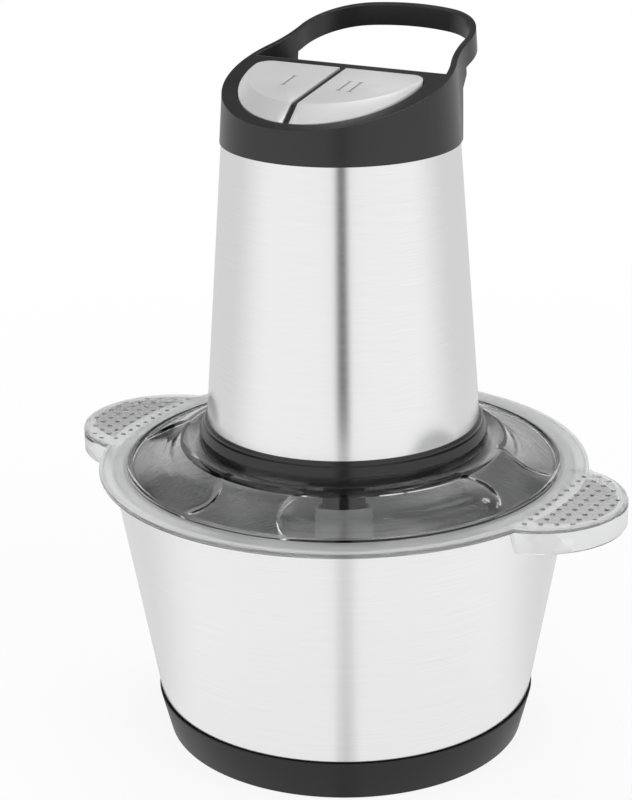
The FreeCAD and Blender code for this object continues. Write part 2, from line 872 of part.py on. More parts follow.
# Motor head: base with hub, cord inlet, steel shell
Z_GEARS = worked_out("z_gears", Z_FLOOR + S.gear_rise)
Z_CASE = worked_out("z_case", Z_GEARS + S.gear_width + S.gear_head_room)
STEP = worked_out("step_radius", S.shell_bottom_radius - S.shell_wall - S.base_step_play)
HUB_BORE = S.base_hub_radius - S.base_hub_wall
Z_STEP = Z_SHELL + S.base_step_height
base_block = turned(
    "base_block",
    [
        (HUB_BORE, Z_BUSH),
        (S.base_hub_radius, Z_BUSH),
        (S.base_hub_radius, Z_HEAD),
        (BASE_RADIUS - S.base_edge, Z_HEAD),
        (BASE_RADIUS, Z_HEAD + 2 * S.base_edge),
        (BASE_RADIUS + S.base_edge / 3, Z_HEAD + 11 * S.base_edge),
        (BASE_RADIUS - S.base_edge, Z_SHELL - 3 * S.base_edge),
        (S.shell_bottom_radius + S.base_edge, Z_SHELL),
        (STEP, Z_SHELL),
        (STEP, Z_STEP),
        (STEP - S.base_step_wall, Z_STEP),
        (STEP - S.base_step_wall, Z_FLOOR),
        (HUB_BORE, Z_FLOOR),
    ],
)


def along_y(name, radius, start, end, level):
    made = doc.addObject("Part::Cylinder", name)
    bind(made, "Radius", radius)
    bind(made, "Height", as_size(end) - start)
    made.Placement = Placement(Vector(0, 0, 0), Rotation(Vector(1, 0, 0), -90))
    bind(made, "Placement.Base.y", start)
    bind(made, "Placement.Base.z", level)
    return made


def ring_of(make, radius, angles):
    """Copies of one shape round the axis."""
    made = []
    for index, angle in enumerate(angles, 1):
        turn = math.radians(angle)
        made.append(make(index, radius * math.cos(turn), radius * math.sin(turn)))
    return made


def holes(name, radius, low, high):
    """Four holes or posts where the gearbox is screwed down."""
    place = CASE_RADIUS + S.screw_column_place
    return ring_of(
        lambda index, x, y: cylinder(f"{name}_{index}", radius, low, high, x, y), place, SCREW_ANGLES
    )


Z_CORD = Z_FLOOR + S.gland_radius
CORD_SEAT = BASE_RADIUS - S.base_edge
SCREW_HOLE = S.screw_radius + S.screw_play
SCREW_FIT = S.screw_radius + S.running_play
SINK_RADIUS = S.screw_head_radius + S.fit_gap
Z_SINK = Z_HEAD + S.screw_sink + S.screw_head_height
flat_half = S.gland_radius + S.gland_margin
base_holes = holes("base_screw_hole", SCREW_HOLE, Z_HEAD - OVER, Z_FLOOR + OVER)
base_sinks = holes("base_screw_sink", SINK_RADIUS, Z_HEAD - OVER, Z_SINK)
cord_hole = along_y(
    "cord_hole",
    S.gland_neck_radius + S.running_play,
    STEP - 2 * S.base_step_wall,
    BASE_RADIUS + OVER,
    Z_CORD,
)
cord_flat = box(
    "cord_flat",
    (-flat_half, flat_half),
    (CORD_SEAT, BASE_RADIUS + OVER),
    (Z_CORD - flat_half, Z_SHELL + OVER),
)
node("motor_base", cut("motor_base_body", base_block, *base_holes, *base_sinks, cord_hole, cord_flat))

GLAND_STEP = CORD_SEAT + S.gland_flange
GLAND_END = GLAND_STEP + S.gland_length
gland_flange = along_y("gland_flange", S.gland_radius, CORD_SEAT, GLAND_STEP, Z_CORD)
gland_sleeve = doc.addObject("Part::Cone", "gland_sleeve")
bind(gland_sleeve, "Radius1", S.gland_radius)
bind(gland_sleeve, "Radius2", S.gland_radius - S.gland_taper)
bind(gland_sleeve, "Height", S.gland_length)
gland_sleeve.Placement = Placement(Vector(0, 0, 0), Rotation(Vector(1, 0, 0), -90))
bind(gland_sleeve, "Placement.Base.y", GLAND_STEP)
bind(gland_sleeve, "Placement.Base.z", Z_CORD)
gland_neck = along_y(
    "gland_neck", S.gland_neck_radius, STEP - S.base_step_wall - S.base_step_play, CORD_SEAT, Z_CORD
)
gland_bore = along_y("gland_bore", S.gland_bore, GLAND_END - S.gland_bore_depth, GLAND_END + OVER, Z_CORD)
gland_solid = fuse("gland_solid", gland_flange, gland_sleeve, gland_neck)
node("cord_gland", cut("gland_body", gland_solid, gland_bore))
node(
    "motor_shell",
    turned(
        "shell_body",
        [
            (S.shell_bottom_radius - S.shell_wall, Z_SHELL),
            (S.shell_bottom_radius, Z_SHELL),
            (S.shell_top_radius, Z_COVER),
            (S.shell_top_radius - S.shell_wall, Z_COVER),
        ],
    ),
)

# Gearbox: bush, case, cover and screws
BUSH_BORE = S.carrier_boss_radius + S.running_play
node(
    "output_bush",
    turned(
        "bush_body",
        [
            (BUSH_BORE, Z_BUSH),
            (HUB_BORE - S.running_play, Z_BUSH),
            (HUB_BORE - S.running_play, Z_FLOOR),
            (HUB_BORE + S.bush_flange, Z_FLOOR),
            (HUB_BORE + S.bush_flange, Z_FLOOR + S.bush_flange_height),
            (BUSH_BORE, Z_FLOOR + S.bush_flange_height),
        ],
    ),
)
GEAR_MODULE = worked_out("gear_module", (RING_RADIUS - S.ring_wall) / (RING_TEETH / 2 + 1.2))
ARM = worked_out("planet_place", GEAR_MODULE * ((SUN_TEETH + PLANET_TEETH) / 2))
CARRIER_RADIUS = worked_out("carrier_radius", ARM + S.carrier_edge)
CASE_INNER = CARRIER_RADIUS + S.case_inner_play
RING_SEAT = RING_RADIUS + S.running_play
Z_RING = Z_GEARS - S.gear_floor_play
case_tube = turned(
    "case_tube",
    [
        (CASE_INNER, Z_FLOOR),
        (CASE_RADIUS, Z_FLOOR),
        (CASE_RADIUS, Z_CASE),
        (RING_SEAT, Z_CASE),
        (RING_SEAT, Z_RING),
        (CASE_INNER, Z_RING),
    ],
)
case_columns = holes("case_column", S.screw_column_radius, Z_FLOOR, Z_CASE)
case_room = cylinder("case_room", RING_SEAT, Z_RING, Z_CASE + OVER)
case_bores = holes("case_bore", SCREW_FIT, Z_FLOOR - OVER, Z_CASE + OVER)
case_solid = fuse("case_solid", case_tube, *case_columns)
node("gearbox_case", cut("case_body", case_solid, case_room, *case_bores))

Z_CASE_TOP = Z_CASE + S.gearbox_cover
Z_BEARING = Z_CASE_TOP + S.bearing_rise
Z_BEARING_TOP = Z_BEARING + S.bearing_width
BEARING_SEAT = S.bearing_radius + S.running_play
BEARING_HOUSE = S.bearing_radius + S.bearing_wall
SHAFT_HOLE = S.shaft_radius + S.shaft_hole_play
cover_disc = turned(
    "gear_cover_disc",
    [
        (SHAFT_HOLE, Z_CASE),
        (CASE_RADIUS, Z_CASE),
        (CASE_RADIUS, Z_CASE_TOP),
        (BEARING_HOUSE, Z_CASE_TOP),
        (BEARING_HOUSE, Z_BEARING_TOP),
        (BEARING_SEAT, Z_BEARING_TOP),
        (BEARING_SEAT, Z_BEARING),
        (SHAFT_HOLE, Z_BEARING),
    ],
)


def pair(name, make):
    """The same shape at both of the long motor bolts."""
    return [make(f"{name}_right", BOLT_PLACE), make(f"{name}_left", -BOLT_PLACE)]


def bolt_holes(name, low, high):
    radius = S.motor_bolt_radius + S.running_play
    return pair(name, lambda label, x: cylinder(label, radius, low, high, x))


cover_ears = holes("cover_ear", S.screw_column_radius, Z_CASE, Z_CASE_TOP)
cover_holes = holes("cover_hole", SCREW_FIT, Z_CASE - OVER, Z_CASE_TOP + OVER)
cover_bolt_holes = bolt_holes("cover_bolt_hole", Z_CASE - OVER, Z_CASE_TOP + OVER)
cover_plate = fuse("gear_cover_solid", cover_disc, *cover_ears)
node("gearbox_cover", cut("gear_cover_body", cover_plate, *cover_holes, *cover_bolt_holes))


def screw(name, place, shank_ends, head_ends, shank, head):
    """A round screw: shank between two levels, head between two others."""
    return fuse(
        name,
        cylinder(name + "_shank", shank, *shank_ends, *place),
        cylinder(name + "_head", head, *head_ends, *place),
    )


def case_screws(name, shank_ends, head_ends):
    return ring_of(
        lambda index, x, y: screw(
            f"{name}_{index}", (x, y), shank_ends, head_ends, S.screw_radius, S.screw_head_radius
        ),
        CASE_RADIUS + S.screw_column_place,
        SCREW_ANGLES,
    )


Z_MIDDLE = (Z_FLOOR + Z_CASE) / 2
base_screws = case_screws(
    "base_screw", (Z_HEAD + OVER, Z_MIDDLE - S.screw_end_gap), (Z_HEAD + S.screw_sink, Z_SINK)
)
gear_screws = case_screws(
    "gear_screw",
    (Z_MIDDLE + S.screw_end_gap, Z_CASE_TOP + OVER),
    (Z_CASE_TOP, Z_CASE_TOP + S.screw_head_height),
)
node("base_screws", group("base_screw_set", *base_screws))
node("gearbox_screws", group("gear_screw_set", *gear_screws))

# Gears: one tooth gap cut from a blank and repeated round it
PRESSURE = math.radians(25)
ROOT = 1.2
SLACK = SIZES["gear_backlash"] / GEAR_MODULE.value / 2


def involute(angle):
    return math.tan(angle) - angle


def tooth_half_angle(teeth, radius):
    """Half the angle that a tooth fills at one radius, radii counted in modules."""
    pitch = teeth / 2
    base = pitch * math.cos(PRESSURE)
    here = math.acos(min(1.0, base / max(radius, base)))
    return math.pi / (2 * teeth) + involute(PRESSURE) - involute(here)


def gap_points(radii, opening):
    """Outline of one gap about the X axis; opening gives its half angle at a radius."""
    low_side = [(radius, -opening(radius)) for radius in radii]
    high_side = [(radius, opening(radius)) for radius in reversed(radii)]
    return [
        (GEAR_MODULE * (radius * math.cos(angle)), GEAR_MODULE * (radius * math.sin(angle)))
        for radius, angle in low_side + high_side
    ]


def outer_gear(name, teeth, bore, low, length, x=0, y=0):
    body = new_body(name + "_body")
    pitch = teeth / 2
    tip = pitch + 0.9
    pad(body, name + "_blank", draw_circle(body, name + "_round", GEAR_MODULE * tip, low), length)
    opening = lambda radius: math.pi / teeth - tooth_half_angle(teeth, radius) + SLACK / radius
    radii = [pitch - ROOT, pitch - ROOT / 2, pitch, pitch + 0.5, tip, tip + 0.5]
    gap = draw(body, name + "_gap", "XY_Plane", gap_points(radii, opening), low)
    cut_gap = pocket(body, name + "_gap_cut", gap, length, reverse=True)
    polar(body, name + "_teeth", cut_gap, teeth)
    hole = draw_circle(body, name + "_bore_round", bore, low)
    body.Tip = pocket(body, name + "_bore", hole, length, reverse=True)
    bind(body, "Placement.Base.x", x)
    bind(body, "Placement.Base.y", y)
    return node(name, body)


def inner_gear(name, teeth, outer, low, length):
    body = new_body(name + "_body")
    pitch = teeth / 2
    tip = pitch - 0.85
    pad(body, name + "_blank", draw_circle(body, name + "_round", outer, low), length)
    hole = draw_circle(body, name + "_hole_round", GEAR_MODULE * tip, low)
    pocket(body, name + "_hole", hole, length, reverse=True)
    opening = lambda radius: tooth_half_angle(teeth, radius) + SLACK / radius
    radii = [tip - 0.15, pitch, pitch + ROOT / 2, pitch + ROOT]
    gap = draw(body, name + "_gap", "XY_Plane", gap_points(radii, opening), low)
    cut_gap = pocket(body, name + "_gap_cut", gap, length, reverse=True)
    polar(body, name + "_teeth", cut_gap, teeth)
    return node(name, body)


SHAFT_BORE = S.shaft_radius + S.press_play
Z_GEARS_TOP = Z_GEARS + S.gear_width
PLANET_ANGLES = [90 + 360 / PLANETS * index for index in range(PLANETS)]
inner_gear("ring_gear", RING_TEETH, RING_RADIUS, Z_RING, Z_CASE - Z_RING)
outer_gear("sun_pinion", SUN_TEETH, SHAFT_BORE, Z_GEARS + S.screw_sink, S.gear_width)
PIN_BORE = S.planet_pin_radius + S.running_play
ring_of(
    lambda index, x, y: outer_gear(
        f"planet_gear_{index}", PLANET_TEETH, PIN_BORE, Z_GEARS, S.gear_width, x, y
    ),
    ARM,
    PLANET_ANGLES,
)

Z_CARRIER = Z_FLOOR + S.carrier_rise
Z_DISC = worked_out("z_disc", Z_CARRIER + S.carrier_thickness)
Z_BOSS = Z_BUSH + S.carrier_boss_rise
carrier_block = turned(
    "carrier_block",
    [
        (0, Z_BOSS),
        (S.carrier_boss_radius, Z_BOSS),
        (S.carrier_boss_radius, Z_CARRIER),
        (CARRIER_RADIUS, Z_CARRIER),
        (CARRIER_RADIUS, Z_DISC),
        (0, Z_DISC),
    ],
)


def at_planets(name, radius, low, high):
    return ring_of(
        lambda index, x, y: cylinder(f"{name}_{index}", radius, low, high, x, y), ARM, PLANET_ANGLES
    )


carrier_pins = at_planets(
    "carrier_pin", S.planet_pin_radius, Z_DISC - OVER, Z_GEARS_TOP + S.planet_pin_proud
)
carrier_seats = at_planets("carrier_seat", S.planet_seat_radius, Z_DISC - OVER, Z_GEARS)
socket_hexagon = hexagon(S.hex_across_flats + S.hex_play)
carrier_socket = prism("carrier_socket", "XY_Plane", socket_hexagon, S.socket_depth, Z_SOCKET)
carrier_solid = fuse("carrier_solid", carrier_block, *carrier_pins, *carrier_seats)
node("planet_carrier", cut("carrier_body", carrier_solid, carrier_socket))
pin_clips = ring_of(
    lambda index, x, y: tube(
        f"pin_clip_{index}",
        S.planet_pin_radius + S.clip_width,
        S.planet_pin_radius + S.press_play,
        Z_GEARS_TOP,
        Z_GEARS_TOP + S.clip_height,
        x,
        y,
    ),
    ARM,
    PLANET_ANGLES,
)
node("pin_clips", group("pin_clip_set", *pin_clips))

# Motor: stator with its coils, held by two long bolts between gearbox and bracket
Z_PLATE = worked_out("z_plate", Z_COVER + S.plate_rise)
Z_SEAT = worked_out("z_seat", Z_PLATE + S.plate_thickness)
Z_BRACKET = worked_out("z_bracket", Z_PLATE - S.bracket_drop)
Z_BOLT_TOP = Z_BRACKET + S.bracket_thickness
Z_COMMUTATOR = worked_out("z_commutator", Z_BRACKET - S.commutator_length - S.commutator_end_gap)
Z_STACK = worked_out("z_stack", Z_COMMUTATOR - S.commutator_lead)
Z_FAN = worked_out("z_fan", Z_BEARING_TOP + S.fan_rise)
Z_STATOR = worked_out("z_stator", Z_FAN + S.fan_height + S.fan_to_stator)
COIL_IN = S.armature_radius + S.coil_gap
COIL_OUT = COIL_IN + S.coil_depth
POLE = COIL_IN - S.pole_margin


def bearing(name, low):
    bore = S.shaft_radius + S.press_play
    return node(name, tube(name + "_ring", S.bearing_radius, bore, low, low + S.bearing_width))


bearing("lower_bearing", Z_BEARING)
bearing("upper_bearing", Z_BOLT_TOP)
half_depth = S.stator_depth / 2
past_stator = (Z_STATOR - OVER, Z_STACK + OVER)
stator_block = common(
    "stator_block",
    cylinder("stator_round", STATOR_RADIUS, Z_STATOR, Z_STACK),
    box("stator_flats", (-STATOR_RADIUS, STATOR_RADIUS), (-half_depth, half_depth), past_stator),
)
stator_bore = cylinder("stator_bore", S.armature_radius + S.armature_gap, *past_stator)
slot_ring = tube("slot_ring", COIL_OUT + S.coil_play, S.armature_radius, *past_stator)
keep_half = POLE - S.coil_play
pole_keep = box("pole_keep", (-keep_half, keep_half), (-STATOR_RADIUS, STATOR_RADIUS), past_stator)
stator_slots = cut("stator_slots", slot_ring, pole_keep)
side_half = S.side_slot_width / 2
stator_sides = box(
    "stator_sides", (-S.side_slot_reach, S.side_slot_reach), (-side_half, side_half), past_stator
)
stator_bolt_holes = bolt_holes("stator_bolt_hole", *past_stator)
stator_tools = [stator_bore, stator_slots, stator_sides, *stator_bolt_holes]
node("stator", cut("stator_body", stator_block, *stator_tools))


def coil(name, side):
    """One field coil: two sides in the slots, its ends round the outside of the pole."""
    far = COIL_OUT + OVER
    y_range = (S.coil_start, far) if side > 0 else (-far, -S.coil_start)
    low, high = Z_STATOR - S.end_turn, Z_STACK + S.end_turn
    ring = tube(name + "_ring", COIL_OUT, COIL_IN, low, high)
    half = box(name + "_half", (-far, far), y_range, (low - OVER, high + OVER))
    window_ends = (Z_STATOR - S.coil_play / 2, Z_STACK + S.coil_play / 2)
    window = box(name + "_window", (-POLE, POLE), y_range, window_ends)
    return cut(name, common(name + "_arc", ring, half), window)


node("field_coils", group("field_coil_set", coil("coil_back", 1), coil("coil_front", -1)))

bolt_radius = S.motor_bolt_radius
bolt_bore = bolt_radius + S.running_play
bolts = pair(
    "motor_bolt",
    lambda label, x: screw(
        label,
        (x, 0),
        (Z_CASE + S.coil_play, Z_BOLT_TOP + OVER),
        (Z_BOLT_TOP, Z_BOLT_TOP + S.motor_bolt_head),
        bolt_radius,
        bolt_radius + S.motor_bolt_rim,
    ),
)


def spacers(name, low, high):
    return pair(name, lambda label, x: tube(label, bolt_radius + S.spacer_rim, bolt_bore, low, high, x))


node("motor_bolts", group("motor_bolt_set", *bolts))
low_spacers = spacers("low_spacer", Z_CASE_TOP, Z_STATOR)
high_spacers = spacers("high_spacer", Z_STACK, Z_BRACKET)
node("bolt_spacers", group("bolt_spacer_set", *low_spacers, *high_spacers))

bracket_half = S.bracket_width / 2
bracket_reach = BOLT_PLACE + S.bracket_end
bracket_bar = box(
    "bracket_bar", (-bracket_reach, bracket_reach), (-bracket_half, bracket_half), (Z_BRACKET, Z_BOLT_TOP)
)
Z_BEARING_END = Z_BOLT_TOP + S.bearing_width
Z_LIP_TOP = Z_BEARING_END + S.bearing_lip
bracket_boss = cylinder("bracket_boss", BEARING_HOUSE, Z_BRACKET, Z_LIP_TOP)
bracket_pillars = [
    cylinder("bracket_pillar_right", S.pillar_radius, Z_BRACKET, Z_PLATE, S.pillar_place),
    cylinder("bracket_pillar_left", S.pillar_radius, Z_BRACKET, Z_PLATE, -S.pillar_place),
]
bracket_seat = cylinder("bracket_seat", BEARING_SEAT, Z_BOLT_TOP, Z_BEARING_END)
bracket_hole = cylinder("bracket_hole", SHAFT_HOLE, Z_BRACKET - OVER, Z_LIP_TOP + OVER)
bracket_bolt_holes = bolt_holes("bracket_bolt_hole", Z_BRACKET - OVER, Z_BOLT_TOP + OVER)
bracket_solid = fuse("bracket_solid", bracket_bar, bracket_boss, *bracket_pillars)
bracket_tools = [bracket_seat, bracket_hole, *bracket_bolt_holes]
node("motor_bracket", cut("bracket_body", bracket_solid, *bracket_tools))


def on_side(side, near, far):
    """A range along X on the right (1) or left (-1)."""
    return (near, far) if side > 0 else (-as_size(far), -as_size(near))


Z_BRUSH = Z_COMMUTATOR + (S.commutator_length - S.brush_height) / 2
Z_BRUSH_TOP = Z_BRUSH + S.brush_height
brush_half = S.brush_width / 2
room_half = brush_half + S.brush_play
holder_half = room_half + S.holder_wall


def brush(name, side):
    x_range = on_side(side, S.commutator_radius + S.fit_gap, S.brush_reach)
    return box(name, x_range, (-brush_half, brush_half), (Z_BRUSH, Z_BRUSH_TOP))


def brush_holder(name, side):
    room_ends = (Z_BRUSH - S.brush_play, Z_BRUSH_TOP + S.brush_play)
    low, high = room_ends[0] - S.holder_wall, room_ends[1] + S.holder_wall
    depth = (-holder_half, holder_half)
    reach = S.holder_reach
    mouth = S.commutator_radius + S.holder_gap
    block = box(name + "_block", on_side(side, mouth, reach), depth, (low, high))
    room = box(name + "_room", (-reach - OVER, reach + OVER), (-room_half, room_half), room_ends)
    cap = box(name + "_cap", on_side(side, reach - S.holder_cap, reach), depth, (low, high))
    tab = box(name + "_tab", on_side(side, reach - S.holder_tab, reach), depth, (high - OVER, Z_BRACKET))
    return fuse(name, cut(name + "_sleeve", block, room), cap, tab)


node("brushes", group("brush_set", brush("brush_right", 1), brush("brush_left", -1)))
node(
    "brush_holders",
    group("brush_holder_set", brush_holder("holder_right", 1), brush_holder("holder_left", -1)),
)

# Armature: shaft, slotted core, windings, commutator and fan
node(
    "armature_shaft",
    cylinder("shaft_rod", S.shaft_radius, Z_DISC + S.shaft_end_gap, Z_BEARING_END + S.shaft_proud),
)


def slotted(name, radius, low, high, slot_wide, slot_deep):
    """A round core with slots along it."""
    body = new_body(name + "_body")
    length = high - low
    pad(body, name + "_round", draw_circle(body, name + "_outline", radius, low), length)
    half = slot_wide / 2
    points = [
        (radius - slot_deep, -half),
        (radius + OVER, -half),
        (radius + OVER, half),
        (radius - slot_deep, half),
    ]
    slot = draw(body, name + "_slot_outline", "XY_Plane", points, low)
    slot_cut = pocket(body, name + "_slot", slot, length, reverse=True)
    polar(body, name + "_slots", slot_cut, CORE_SLOTS)
    hole = draw_circle(body, name + "_bore_outline", SHAFT_BORE, low)
    body.Tip = pocket(body, name + "_bore", hole, length, reverse=True)
    return node(name, body)


slotted("armature_core", S.armature_radius, Z_STATOR, Z_STACK, S.core_slot_width, S.core_slot_depth)
slotted(
    "commutator",
    S.commutator_radius,
    Z_COMMUTATOR,
    Z_COMMUTATOR + S.commutator_length,
    S.segment_gap,
    S.segment_depth,
)


def winding_end(name, low, high):
    inside = SHAFT_BORE + S.winding_bore_play
    outside = S.armature_radius - S.winding_margin
    corner = S.winding_round
    return turned(
        name,
        [
            (inside, low),
            (outside - corner, low),
            (outside, low + corner, corner, 1),
            (outside, high - corner),
            (outside - corner, high, corner, 1),
            (inside, high),
        ],
    )


node(
    "armature_windings",
    group(
        "winding_set",
        winding_end("winding_low", Z_STATOR - S.end_turn, Z_STATOR),
        winding_end("winding_high", Z_STACK, Z_STACK + S.end_turn),
    ),
)

Z_FAN_DISC = Z_FAN + S.fan_disc
Z_FAN_TOP = Z_FAN + S.fan_height
fan = turned(
    "fan_body",
    [
        (SHAFT_BORE, Z_FAN),
        (S.fan_radius, Z_FAN),
        (S.fan_radius, Z_FAN_DISC),
        (S.fan_hub_radius, Z_FAN_DISC),
        (S.fan_hub_radius, Z_FAN_TOP + OVER),
        (SHAFT_BORE, Z_FAN_TOP + OVER),
    ],
)
reach = S.fan_radius
fan_blade = draw(
    fan,
    "fan_blade_outline",
    "XY_Plane",
    [
        (reach * 0.35, reach * -0.03),
        (reach * 0.985, reach * 0.15, reach * 1.16, 1),
        (reach * 0.977, reach * 0.19),
        (reach * 0.35, reach * 0.018, reach * 1.1, -1),
    ],
    Z_FAN + S.fan_disc / 2,
)
fan_pad = pad(fan, "fan_blade", fan_blade, S.fan_height - S.fan_disc / 2)
polar(fan, "fan_blades", fan_pad, FAN_BLADES)
node("cooling_fan", fan)


# Top cover: collar, sloping deck with a well, finger recess and handle
def hull_outline(inset):
    """Round collar with a waist behind it and a square handle, all moved in by an inset."""
    front = COVER_RADIUS - inset
    corner = S.handle_corner_radius - inset
    waist = S.handle_waist_radius + inset
    corner_x, corner_y = S.handle_corner_x, S.handle_corner_y
    apart = root(corner_x * corner_x + corner_y * corner_y)
    along_x, along_y_part = corner_x / apart, corner_y / apart
    to_front, to_corner = front + waist, corner + waist
    along = (to_front * to_front - to_corner * to_corner + apart * apart) / (2 * apart)
    across = root(to_front * to_front - along * along)
    waist_x = along_x * along + along_y_part * across
    waist_y = along_y_part * along - along_x * across
    front_x = waist_x * front / to_front
    front_y = waist_y * front / to_front
    side_x = corner_x + (waist_x - corner_x) * corner / to_corner
    side_y = corner_y + (waist_y - corner_y) * corner / to_corner
    back = COVER_RADIUS + S.handle_reach - inset
    drop = corner_y - back
    back_radius = (corner * corner - corner_x * corner_x - drop * drop) / (2 * (drop + corner))
    share = back_radius / (back_radius - corner)
    end_x = corner_x * share
    end_y = back - back_radius + (drop + back_radius) * share
    return [
        (0, -front, front, 1),
        (front_x, front_y, front, 1),
        (side_x, side_y, waist, -1),
        (end_x, end_y, corner, 1),
        (-end_x, end_y, back_radius, 1),
        (-side_x, side_y, corner, 1),
        (-front_x, front_y, waist, -1),
    ]


def deck(y, below=0):
    return Z_DECK + S.deck_slope * as_size(y) - below


def button_top(y, below=0):
    return Z_DECK + S.button_rise + S.button_top_slope * as_size(y) - below


def leaning_prism(name, points, high):
    """A prism from the foot of the cover, its sides leaning in by the draft."""
    body = prism(name, "XY_Plane", points, high - Z_COVER, Z_COVER)
    bind(body.Tip, "TaperAngle", -slope_angle(S.cover_draft))
    return body


cover_hull = leaning_prism("cover_hull", hull_outline(as_size(0)), HIGH)
flare_foot = COVER_RADIUS + S.fit_gap
flare_top = S.leg_flare_start + WIDE
cover_flare = turned(
    "cover_flare",
    [
        (0, Z_COVER),
        (flare_foot, Z_COVER),
        (flare_foot, Z_COVER + S.leg_flare_start),
        (flare_foot + S.leg_flare_slope * WIDE, Z_COVER + flare_top),
        (0, Z_COVER + flare_top),
    ],
)
band_front = S.band_start
cover_band = side_prism(
    "cover_band",
    [
        (band_front, deck(band_front, S.handle_depth)),
        (WIDE, deck(WIDE, S.handle_depth)),
        (WIDE, HIGH),
        (band_front, HIGH),
    ],
    2 * WIDE,
)
cover_block = common("cover_block", cover_hull, fuse("cover_round", cover_flare, cover_band))
above_deck = side_prism(
    "above_deck", [(-WIDE, deck(-WIDE)), (WIDE, deck(WIDE)), (WIDE, HIGH), (-WIDE, HIGH)], 2 * WIDE
)
RIDGE_BACK = S.ridge_place + S.ridge_width
Z_LIP = Z_COVER + S.back_lip
Z_RECESS = Z_COVER + S.recess_floor
Z_SKIRT = Z_COVER - S.cover_skirt
INSIDE = COVER_RADIUS - S.cover_wall


def inner_cone(name, low):
    """The space inside the collar, leaning in with its wall."""
    low_radius = INSIDE - S.cover_draft * (low - Z_COVER)
    high_radius = INSIDE - S.cover_draft * (HIGH - Z_COVER)
    return turned(name, [(0, low), (low_radius, low), (high_radius, HIGH), (0, HIGH)])


recess_side = side_prism(
    "recess_side",
    [(RIDGE_BACK, Z_RECESS), (WIDE, Z_RECESS - S.recess_fall), (WIDE, HIGH), (RIDGE_BACK, HIGH)],
    2 * WIDE,
)
recess_high = common(
    "recess_high",
    leaning_prism("recess_hull", hull_outline(S.handle_wall), HIGH),
    box("recess_over_lip", (-WIDE, WIDE), (-WIDE, WIDE), (Z_LIP, HIGH)),
)
recess_form = fuse("recess_form", recess_high, inner_cone("recess_low", Z_COVER))
recess = common("recess", recess_side, recess_form)
under_handle = side_prism(
    "under_handle",
    [
        (S.leg_end, Z_LIP),
        (WIDE, Z_LIP),
        (WIDE, deck(WIDE, S.handle_depth)),
        (S.leg_end, deck(S.leg_end, S.handle_depth)),
    ],
    2 * WIDE,
)
cavity_side = side_prism(
    "cavity_side",
    [
        (-WIDE, Z_SKIRT),
        (WIDE, Z_SKIRT),
        (WIDE, Z_RECESS - S.recess_fall - S.cover_wall),
        (S.ridge_place, Z_RECESS - S.cover_wall),
        (S.ridge_place, deck(S.ridge_place, S.deck_thickness)),
        (-WIDE, deck(-WIDE, S.deck_thickness)),
    ],
    2 * WIDE,
)
cavity = common("cavity", cavity_side, inner_cone("cavity_round", Z_SKIRT))


def button_corners(grow):
    """Where the round front, the corner arc and the straight back of a button meet."""
    radius = BUTTON_RADIUS + grow
    corner = S.button_corner + grow
    back = S.button_back + grow
    centre_y = back - corner - S.button_centre
    inside = radius - corner
    centre_x = root(inside * inside - centre_y * centre_y)
    stretch = radius / inside
    return radius, corner, back, centre_x, centre_x * stretch, S.button_centre + centre_y * stretch


def button_outline():
    """The right-hand one of the two buttons."""
    radius, corner, back, flat_x, side_x, side_y = button_corners(as_size(0))
    inner = S.button_split / 2
    return [
        (inner, S.button_centre - root(radius * radius - inner * inner)),
        (side_x, side_y, radius, 1),
        (flat_x, back, corner, 1),
        (inner, back),
    ]


def well_outline():
    """The one opening that both buttons sit in."""
    radius, corner, back, flat_x, side_x, side_y = button_corners(S.button_play)
    return [
        (-side_x, side_y, corner, 1),
        (0, S.button_centre - radius, radius, 1),
        (side_x, side_y, radius, 1),
        (flat_x, back, corner, 1),
        (-flat_x, back),
    ]


def mirror(name, source):
    made = doc.addObject("Part::Mirroring", name)
    made.Source = source
    made.Normal = Vector(1, 0, 0)
    return made


well = prism("well", "XY_Plane", well_outline(), HIGH - Z_SEAT, Z_SEAT)
cover_cut = cut("cover_cut", cover_block, above_deck, recess, under_handle, cavity, well)
skirt_outer = S.shell_top_radius - S.shell_wall - S.cover_skirt_play
skirt_inner = skirt_outer - S.cover_skirt_wall
cover_skirt = tube("cover_skirt", skirt_outer, skirt_inner, Z_SKIRT, Z_COVER + OVER / 2)
cover_joint = tube("cover_joint", COVER_RADIUS - OVER, skirt_inner, Z_COVER, Z_COVER + OVER)

# Two screws in front and two behind hold the switch plate under the cover
plate_shank = S.plate_screw_radius
plate_boss_tops = (
    (
        "front",
        COVER_RADIUS - S.front_screw_margin,
        S.front_screw_y,
        deck(S.front_screw_y, S.deck_thickness / 2),
    ),
    (
        "back",
        COVER_RADIUS * S.back_screw_x_share,
        COVER_RADIUS * S.back_screw_y_share,
        Z_RECESS - S.cover_wall * 0.8,
    ),
)
bosses = []
pilots = []
plate_holes = []
plate_screws = []
for row_name, x, y, top in plate_boss_tops:
    for side_name, place in (("right", (x, y)), ("left", (-x, y))):
        tag = f"{row_name}_{side_name}"
        grip = Z_SEAT + S.plate_screw_grip
        bosses.append(cylinder(f"boss_{tag}", S.plate_boss_radius, Z_SEAT, top, *place))
        pilots.append(
            cylinder(f"pilot_{tag}", plate_shank + S.running_play, Z_SEAT - OVER, grip + OVER / 2, *place)
        )
        plate_holes.append(
            cylinder(f"plate_hole_{tag}", plate_shank + S.screw_play, Z_PLATE - OVER, Z_SEAT + OVER, *place)
        )
        plate_screws.append(
            screw(
                f"plate_screw_{tag}",
                place,
                (Z_PLATE - OVER, grip),
                (Z_PLATE - S.screw_head_height, Z_PLATE),
                plate_shank,
                S.plate_screw_head_radius,
            )
        )
cover_solid = fuse("cover_solid", cover_cut, cover_skirt, cover_joint, *bosses)
node("top_cover", cut("cover_body", cover_solid, *pilots))
node("plate_screws", group("plate_screw_set", *plate_screws))
plate_disc = cylinder("plate_disc", INSIDE - S.plate_play, Z_PLATE, Z_SEAT)
